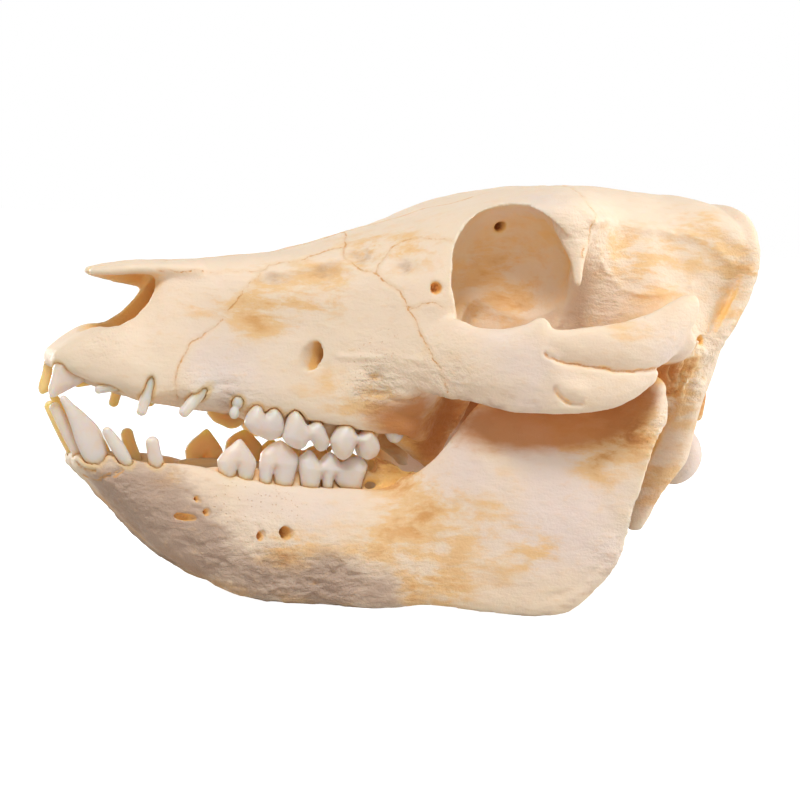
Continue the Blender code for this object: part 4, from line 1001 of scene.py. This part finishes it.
jaw = {
    # One side at each x: top, three points down the outer face, bottom, three up the inner face
    "rings": {
        -88.9: ((2.5, 5, 6.4, 6.2, 3.5, -1, -1, -1), (36.9, 36.4, 35.2, 33.8, 32.8, 33.2, 34.6, 36.4)),
        -85.4: ((4, 7.5, 9.6, 8.8, 4.5, -1, -1, -1), (36.6, 36, 33.6, 31.8, 30.2, 30.8, 33, 36)),
        -80: ((5.5, 10, 12.2, 10.4, 4.5, -1, -1, -1), (36.8, 36.4, 31.6, 27.6, 25, 25.4, 29, 34)),
        -72: ((9, 13, 14.6, 12.4, 6.5, -1, -1, -1), (35, 34.6, 27, 20.6, 17.6, 18.4, 21.4, 28)),
        -64: ((12, 15.2, 16.8, 14.8, 9.5, -1, -1, -1), (35, 33.8, 23.6, 14.8, 11, 12.2, 16, 24)),
        -56: ((14, 17.4, 19.2, 17.6, 12.6, 8, 7.5, 9), (34.5, 32.2, 20.8, 10.4, 6.2, 8.2, 14, 27)),
        -47: ((15.2, 19, 21.4, 20.2, 16.6, 12.5, 11.5, 11.5), (32.8, 30.4, 18.4, 6.2, 2, 4.6, 15, 28)),
        -36: ((16.2, 20.4, 23.6, 23.4, 20.2, 16, 14, 12.6), (31.4, 29.2, 17.2, 4.2, 0, 4, 15, 27.6)),
        -18: ((17.5, 22.5, 27, 27.5, 25, 21.5, 18, 14), (31.3, 29, 17, 4.6, 0, 4.6, 16, 28)),
        -6: ((19, 24.5, 29.5, 30, 28, 25, 21, 15.5), (32.5, 30, 18, 4.8, 0.1, 4.8, 17, 29)),
        4: ((26.5, 29.5, 32, 32.3, 30.5, 28, 25, 19), (40.4, 34, 19, 5.8, 1.6, 5.8, 18, 31)),
        14: ((31.6, 33.5, 34.3, 34, 32.5, 30.5, 29, 28.6), (56, 47, 25, 6.6, 1, 6.2, 22, 42)),
        25: ((33, 34.5, 36, 35.6, 34, 32.3, 31.5, 31.5), (66.5, 55, 30, 6, 0, 5.6, 28, 52)),
        36: ((33.5, 35, 37.3, 37.2, 35.5, 33.8, 33, 32.5), (73.5, 60, 32, 6, 0, 5.6, 30, 58)),
        43: ((33.5, 35.2, 38, 38.3, 37, 35.3, 34, 32.3), (75.5, 62, 34, 8.5, 1.6, 8, 32, 60)),
        49.6: ((33.5, 36, 38.5, 39, 38, 36.5, 35, 32), (68, 58, 36, 14, 7.4, 13.5, 32, 58)),
        55.4: ((34, 37.6, 39.3, 39.6, 39, 37.3, 35.8, 31.4), (64.5, 58, 40, 23, 15.4, 22, 38, 58)),
        59.3: ((34.6, 39, 40, 40, 39.5, 38, 36, 30.4), (65, 60, 46, 36, 29.5, 35, 45, 59)),
        63.3: ((35.4, 39.5, 40.3, 40.2, 39.2, 37.2, 34, 30.8), (64.5, 60.5, 54, 49.5, 46.4, 49, 54, 60)),
        67.2: ((36.2, 38.5, 39, 38.6, 37.6, 35.4, 34, 34), (61, 59.5, 57, 54.8, 53.8, 55, 57, 59.5)),
    },
    "eggs": [((63, 33, 62.8), (4.4, 6.8, 3.8)), ((3.5, 19.6, 30.8), (9.4, 5.8, 6.2))],
    "ridge": [
        (-56, 11.6, 32.6, 1.4, 1.8), (-48, 12.7, 33.2, 1.7, 2.1), (-38, 13.5, 32.8, 1.8, 2.4),
        (-26, 14.2, 32.2, 1.9, 2.8), (-15, 14.9, 33.4, 1.7, 3.2), (-9.5, 16.2, 36.4, 1.5, 4),
        (-4.5, 17.4, 35.4, 1.6, 3.6), (0, 18.8, 34, 1.7, 3), (5, 21.6, 33.4, 2, 2.6),
    ],
    "eggHollows": [
        ((-4.6, 19.6, 35.2), (6.4, 1.9, 3.8)), ((-9.4, 17, 37.4), (1.2, 3.4, 1.7)),
        ((-11.8, 18, 33.6), (0.7, 2, 1)),
    ],
    "holes": [  # from outside to inside: rows of x, y, z, half width and half height
        [
            (-32.4, 28, 19.2, 1.8, 1.8), (-34.2, 23.5, 19.1, 1.8, 1.8), (-36.4, 18.6, 18.9, 1.6, 1.6),
            (-38, 15.6, 18.6, 1.2, 1.2),
        ],
        [(-40.2, 25.5, 17.8, 1, 1.3), (-40.9, 22.6, 17.8, 1, 1.3), (-42, 19.6, 17.8, 0.7, 1)],
        [(-59.3, 21, 21.6, 2.8, 1.1), (-60.8, 17.4, 21.8, 2.8, 1.1), (-62.6, 14.8, 21.8, 2, 0.9)],
        [(-54.4, 22, 23.1, 1.1, 1), (-55.2, 19.2, 23.2, 1.1, 1), (-56.6, 16.6, 23.3, 0.8, 0.8)],
        [(-57, 21, 26.3, 0.9, 1), (-57.9, 18.1, 26.5, 0.9, 1), (-59.2, 15.4, 26.7, 0.6, 0.8)],
        [(-81.4, 12, 28, 0.5, 0.6), (-80.8, 9.4, 28.2, 0.5, 0.6), (-80, 7.6, 28.4, 0.4, 0.4)],
        [(-52.6, 22, 28.6, 0.45, 0.45), (-53, 19.2, 28.6, 0.45, 0.45), (-53.6, 17, 28.6, 0.3, 0.3)],
        [(-46.2, 24, 17.9, 0.5, 0.5), (-46.6, 21.4, 17.9, 0.5, 0.5), (-47, 19.6, 17.9, 0.4, 0.4)],
        [(-56.6, 21, 20, 0.5, 0.6), (-57, 18.4, 20, 0.5, 0.6), (-57.6, 17, 20, 0.3, 0.4)],
    ],
    "seams": [
        [(-89, 0, 33.6), (-80, 0, 24.4), (-66, 0, 10)],
    ],
    "clefts": [
        [
            (-87, 4.2, 30), (-84.6, 6, 29.4), (-82.6, 8, 29.6), (-81.8, 10.4, 31), (-80.7, 11.9, 31.8),
            (-79.2, 12.2, 32.3), (-77.4, 12.4, 33.3),
        ],
        [(-88.6, 6, 34), (-86.4, 7.6, 32.6), (-84, 9.4, 32.6)],
    ],
    # Painted shadow of the cheek arch across the top of the jaw, and painted shade in one small hollow
    "shades": [
        (12, 32, 51, 7, 0.7), (20, 33.4, 50.4, 6, 0.9), (27, 34.4, 51, 6, 1.0), (34, 35, 51.4, 6, 1.0),
        (41, 35.6, 52, 6, 1.0), (48, 36.4, 53.6, 6, 1.0), (54.6, 37.4, 56.6, 5.4, 0.9),
        (59, 38.6, 60.6, 4.4, 0.9), (62, 36, 61, 4, 0.4), (30, 34, 60, 9, 1.0), (44, 34, 62, 9, 1.0),
        (-9.4, 17, 37.4, 2.4, 0.7),
    ],
    "ridges": [
        (-0.35, 1.1, [(60, 39.6, 32), (55, 40.4, 22.6), (49, 39.8, 14), (43, 38.8, 8), (34, 37.6, 4)]),
        (-0.4, 0.7, [(-61, 17.6, 28.6), (-59.4, 18, 27.6), (-57.9, 18.4, 26.6)]),
        (-0.4, 0.7, [(-59, 18.2, 24.4), (-57, 18.8, 24), (-55.2, 19.4, 23.4)]),
        (-0.4, 0.8, [(-42.4, 22.6, 20.8), (-41.4, 22.8, 19.4), (-40.9, 22.8, 18)]),
    ],
    "swells": [
        ((-84, 9, 27.6), (5, 4, 1.6), -0.8), ((20, 34, 14), (14, 4, 6), 0.5), ((40, 36, 40), (14, 5, 16), -0.6),
    ],
    # Staining, with painted shadow of the cheek arch among it, high on the jaw's rear
    "stainsAndShade": [
        (-19, 20.2, 30.8, 5, 0.3), (1, 29.4, 24.4, 12, 0.9), (21.9, 35.5, 20.4, 12, 0.6),
        (1.5, 31.7, 5.9, 7, 0.9), (-37, 23.3, 13.6, 6, 1), (-30, 25, 14, 6, 0.7), (48.3, 37.6, 44.6, 8, 0.7),
        (60, 39.8, 52, 6, 0.9), (34.5, 37.3, 17, 6, 0.6), (9.5, 33.2, 6.3, 6, 0.8), (-9.6, 29.4, 17, 8, 0.6),
        (-60, 15, 30, 4, 0.7), (44, 35, 57, 9, 1.9), (52, 36, 58, 7, 1.4), (34, 34, 60, 8, 1.4),
        (-6, 17.6, 37, 6, 2.2), (2, 19, 36, 6, 1.8), (-66, 14, 31, 4, 0.9), (-72, 4, 16, 6, 1.4),
        (-64, 9, 10, 5, 1.4), (-57, 13, 6, 4, 1.4), (-50, 16, 3, 4, 1.3), (-42, 19, 1, 4, 1.3),
        (-34, 21, 0, 4, 1.3), (-26, 23, 0, 4, 1.1), (-16, 25, 0, 4, 1), (-78, 3, 23, 5, 1),
        (57, 38, 50, 7, 0.6), (47, 36, 47, 7, 0.5),
    ],
    "pales": [(40, 37, 30, 22, 0.9), (-25, 24, 24, 12, 0.7), (-45, 20, 26, 8, 0.4), (10, 33, 38, 10, 0.6)],
    # Grey patches, partly painted shade on the jaw's underside at the front
    "greysAndShade": [
        (-70, 13, 20, 14, 1.3), (-58, 18, 12, 11, 1.1), (-40, 23, 6, 9, 0.9), (-22, 27, 7, 9, 1),
        (-8, 29, 4, 7, 0.8), (-82, 10, 27, 8, 0.8), (60.6, 40, 26, 3, 0.4), (57, 40, 19, 3, 0.45),
        (53, 39.6, 13, 3, 0.45), (48, 39, 8, 3, 0.45), (43, 38.4, 4, 3, 0.45), (37, 37.4, 1, 3, 0.45),
        (30, 36, 0, 3, 0.4), (-26, 25, 4, 8, 0.3), (-72, 12, 26, 8, 0.4),
    ],
    "porous": [(-50, 19, 26, 8, 0.9), (-40, 20.6, 26, 7, 0.7), (-31, 21.6, 26, 5, 0.6)],
    "rough": [
        (-72, 12, 20, 12, 1.1), (-37, 24, 8, 11, 1.3), (-20, 27, 7, 10, 1.3), (-54, 19, 11, 9, 1.1),
        (56, 39, 16, 7, 0.7), (61, 40, 26, 5, 0.8), (-5, 17, 37, 5, 0.8), (-80, 10, 30, 7, 0.8),
        (0, 30, 8, 10, 0.5), (62, 38, 52, 7, 0.9),
    ],
    "triangles": 150000,
    "seed": 300,
}


def jawForms():
    bm = bmesh.new()
    cage = [[(x, y, z) for y, z in zip(ys, zs)] for x, (ys, zs) in jaw["rings"].items()]
    layOnRings(bm, cage, 80, 200)
    addRod(bm, jaw["ridge"], (0, 1, 0), (0, 0, 1))
    for centre, radii in jaw["eggs"]:
        addEgg(bm, centre, radii)
    addOtherSide(bm)
    return newPiece("mandible_bone", bm)


def jawHollows():
    bm = bmesh.new()
    for rows in jaw["holes"]:
        addRod(bm, rows, (1, 0, 0), (0, 0, 1), 16)
    for centre, radii in jaw["eggHollows"]:
        addEgg(bm, centre, radii)
    addOtherSide(bm)
    cutter = newPiece("jaw holes", bm)
    fuse(cutter, voxel=0.3, smooth=0)
    return cutter


# Surface relief and colour fields of a bone

surface = {
    "uneven": [  # size, layers, seed, stretch along X, depth, and added depth on rough bone
        (14, 3, 0, 1, 0.3, 0), (3.6, 2, 5, 1.6, 0.08, 0.16), (1.3, 2, 9, 2.2, 0.03, 0.11),
    ],
    # A groove with a low lip on both sides of it
    "seams": {
        "wiggle": 0.45, "seed": 20, "depth": 0.1, "half": 0.42, "lip": 0.1, "lipAt": 1.1, "lipHalf": 0.6,
    },
    "clefts": {
        "wiggle": 0.4, "seed": 30, "depth": 0.6, "half": 0.45, "lip": 0.15, "lipAt": 1.3, "lipHalf": 0.7,
    },
    "ridgeWiggle": 0.3,
    "spots": [  # each field, the patches it comes from and its highest value
        ("stainAndShade", "stainsAndShade", math.inf), ("pale", "pales", math.inf), ("grey", "greysAndShade", math.inf),
        ("porous", "porous", math.inf), ("shade", "shades", 1), ("rough", "rough", 1.5),
    ],
    "rimReach": 1.6,
}


def farFrom(piece, tree, table, kind):
    # Distance to the nearest of the table's seams or clefts
    groove = surface[kind]
    return lineField(piece, tree, table[kind], groove["wiggle"], table["seed"] + groove["seed"])


def grooveDepth(far, kind):
    groove = surface[kind]
    lip = groove["lip"] * bell(far, groove["lipAt"], groove["lipHalf"])
    return groove["depth"] * bell(far, 0, groove["half"]) - lip


def relief(piece, table):
    seed = table["seed"]
    tree = treeOf(piece)
    points, normals = getPoints(piece), getNormals(piece)
    rough = spotField(points, table["rough"])
    depth = np.zeros(len(points))
    for size, layers, own, stretch, even, more in surface["uneven"]:
        depth += layeredNoise(points, size, layers, seed + own, (stretch, 1, 1)) * (even + more * rough)
    # Furrows, only where the bone is roughest
    depth -= np.abs(layeredNoise(points, 2.2, 2, seed + 13, (2, 1, 1))) * 0.95 * np.maximum(0, rough - 0.4)
    depth += swellField(points, table["swells"])
    for height, half, line in table["ridges"]:
        away = lineField(piece, tree, [line], surface["ridgeWiggle"], seed + 40)
        depth += height * bell(away, 0, half) * (1 + 0.5 * layeredNoise(points, 4, 2, seed + 60))
    broken = np.clip(0.55 + 0.9 * layeredNoise(points, 5, 2, seed + 70), 0, 1.2)
    depth -= broken * grooveDepth(farFrom(piece, tree, table, "seams"), "seams")
    depth -= grooveDepth(farFrom(piece, tree, table, "clefts"), "clefts")
    setPoints(piece, points + normals * depth[:, None])
    thinOut(piece, table["triangles"])


def rimField(piece, crowns):
    # Where the bone is close to a tooth
    reach = surface["rimReach"]
    points = getPoints(piece)
    near = np.zeros(len(points))
    for tooth in crowns:
        spots = getPoints(tooth)
        inside = ((points > spots.min(axis=0) - reach) & (points < spots.max(axis=0) + reach)).all(axis=1)
        tree = treeOf(tooth)
        for index in np.flatnonzero(inside).tolist():
            far = tree.find_nearest(points[index], reach)[3]
            if far is not None:
                near[index] = max(near[index], 1.1 - far / 1.5)
    return near


def colourFields(piece, table, trees, crowns):
    points = getPoints(piece)
    tree = treeOf(piece)
    addField(piece, "rim", rimField(piece, crowns))
    # Patch fields: the shade patches and some of the staining, grey and pale ones are painted light and shade
    for name, spots, most in surface["spots"]:
        addField(piece, name, np.clip(spotField(points, table[spots]), 0, most))
    addField(piece, "cleft", farFrom(piece, tree, table, "clefts"))
    addField(piece, "seam", farFrom(piece, tree, table, "seams"))
    # How shut in each point is, which the material turns into painted shade
    addField(piece, "shutIn", shutInField(piece, trees))
    # Faces turned towards the midline, which the material gives a painted glow
    addField(piece, "inward", np.clip(-getNormals(piece)[:, 1] * np.sign(points[:, 1]) * 1.5, 0, 1))


def toothFields(tooth, bone):
    points, normals = getPoints(tooth), getNormals(tooth)
    near = np.array([bone.find_nearest(point)[3] for point in points.tolist()])
    side = np.sign(points[:, 1].mean())
    # Closeness to the bone, for a tint that is partly staining, partly painted shade
    addField(tooth, "neck", np.clip(1.3 - near / 1.6, 0, 1.3))
    # Faces turned towards the midline, for a painted glow
    addField(tooth, "inner", np.clip(-normals[:, 1] * side * 1.4 - 0.1, 0, 1))


def setMaterial(piece, material):
    toMetres(piece)
    piece.data.materials.clear()
    piece.data.materials.append(material)


print("skull: teeth")
made = {}
for name in [*teeth["pegs"], *teeth["eggs"]]:
    made[name] = [makeTooth(name, side) for side in (-1, 1)]

print("skull: cranium")
skull = craniumForms()
fuse(skull, voxel=0.65, smooth=4)
carve(skull, craniumHollows())
joinIn(skull, browSpurs())
fuse(skull, voxel=0.5, smooth=3)
carve(skull, socketCutter(made, "upper"))
fuse(skull, voxel=0.5, smooth=2)
print("skull: cranium faces", len(skull.data.polygons))
relief(skull, cranium)

print("skull: jaw")
jawbone = jawForms()
fuse(jawbone, voxel=0.6, smooth=4)
carve(jawbone, jawHollows())
carve(jawbone, socketCutter(made, "lower"))
fuse(jawbone, voxel=0.45, smooth=2)
print("skull: jaw faces", len(jawbone.data.polygons))
relief(jawbone, jaw)

print("skull: colour fields")
trees = {"upper": treeOf(skull), "lower": treeOf(jawbone)}
colourFields(skull, cranium, list(trees.values()), teethOf(made, "upper"))
colourFields(jawbone, jaw, list(trees.values()), teethOf(made, "lower"))
for name, pair in made.items():
    for tooth in pair:
        toothFields(tooth, trees[name[:5]])

print("skull: materials")
for piece, node, slotName in ((skull, "cranium", "cranium_bone"), (jawbone, "mandible", "mandible_bone")):
    setMaterial(piece, boneMaterial(f"{node} bone"))
    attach(piece, "root")
    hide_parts(node)
enamel = enamelMaterial("tooth enamel")
for name, pair in made.items():
    for tooth, label in zip(pair, ("left", "right")):
        setMaterial(tooth, enamel)
        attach(tooth, "root")
        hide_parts(f"{name}_{label}")

# Floor, light and camera

studio = {
    "turn": -20, "rise": 3.5, "roll": 4.0, "distance": 1.0, "target": (0.0024, 0, 0.0544),
    "lens": 163.6, "sensor": 36, "clipEnd": 30, "sky": 0.38,
    "floorSize": 6.0, "floorGlow": 0.9, "floorRoughness": 0.9,
    "floorBounce": (0.6, 0.59, 0.57, 1), "floorShown": (0.5, 0.5, 0.5, 1),
    "lampTarget": (0, 0, 0.05),
    "lamps": [
        ("key", 19.6, 0.4, (-0.5, -0.9, 1.65)), ("fill", 2.6, 1.0, (-0.7, -1.6, 0.3)),
        ("side", 22, 0.8, (1.7, -0.3, 0.5)), ("back", 19, 0.6, (-0.7, 1.4, 0.15)),
    ],
}


def makeStudio():
    bm = bmesh.new()
    bmesh.ops.create_grid(bm, x_segments=1, y_segments=1, size=studio["floorSize"])
    floor = newPiece("studio_floor", bm)
    material, tree, shader = newMaterial("white floor")
    # The floor shows near white, but throws little light back up
    seen = addNode(tree, "ShaderNodeLightPath").outputs["Is Camera Ray"]
    tone = blendColours(tree, seen, studio["floorBounce"], studio["floorShown"])
    putIn(tree, shader.inputs["Base Color"], tone)
    shader.inputs["Roughness"].default_value = studio["floorRoughness"]
    shader.inputs["Specular IOR Level"].default_value = 0
    shader.inputs["Emission Color"].default_value = (1, 1, 1, 1)
    putIn(tree, shader.inputs["Emission Strength"], work(tree, "MULTIPLY", seen, studio["floorGlow"]))
    floor.data.materials.append(material)
    world = bpy.data.worlds.new("white studio")
    world.use_nodes = True
    tree = world.node_tree
    seen = addNode(tree, "ShaderNodeLightPath").outputs["Is Camera Ray"]
    background = tree.nodes["Background"]
    background.inputs[0].default_value = (1, 1, 1, 1)
    putIn(tree, background.inputs[1], between(tree, seen, 0, 1, studio["sky"], 1.0))
    bpy.context.scene.world = world
    for label, power, size, place in studio["lamps"]:
        light = bpy.data.lights.new(label, "AREA")
        light.energy = power
        light.size = size
        lamp = bpy.data.objects.new(label, light)
        lamp.location = place
        way = Vector(place) - Vector(studio["lampTarget"])
        lamp.rotation_euler = way.to_track_quat("Z", "Y").to_euler()
        bpy.context.scene.collection.objects.link(lamp)
    bpy.context.scene.view_settings.view_transform = "Standard"


def makeCamera():
    turn, rise, roll = (math.radians(studio[key]) for key in ("turn", "rise", "roll"))
    right = Vector((math.cos(turn), math.sin(turn), 0))
    back = Vector((math.sin(turn) * math.cos(rise), -math.cos(turn) * math.cos(rise), math.sin(rise)))
    up = back.cross(right)
    across = right * math.cos(roll) + up * math.sin(roll)
    above = up * math.cos(roll) - right * math.sin(roll)
    spot = Vector(studio["target"]) + back * studio["distance"]
    camera = bpy.data.cameras.new("camera")
    camera.sensor_width = studio["sensor"]
    camera.lens = studio["lens"]
    camera.clip_end = studio["clipEnd"]
    holder = bpy.data.objects.new("camera", camera)
    holder.matrix_world = Matrix((
        (across.x, above.x, back.x, spot.x), (across.y, above.y, back.y, spot.y),
        (across.z, above.z, back.z, spot.z), (0, 0, 0, 1),
    ))
    bpy.context.scene.collection.objects.link(holder)
    bpy.context.scene.camera = holder


print("skull: studio")
makeStudio()
makeCamera()


print("skull: done")
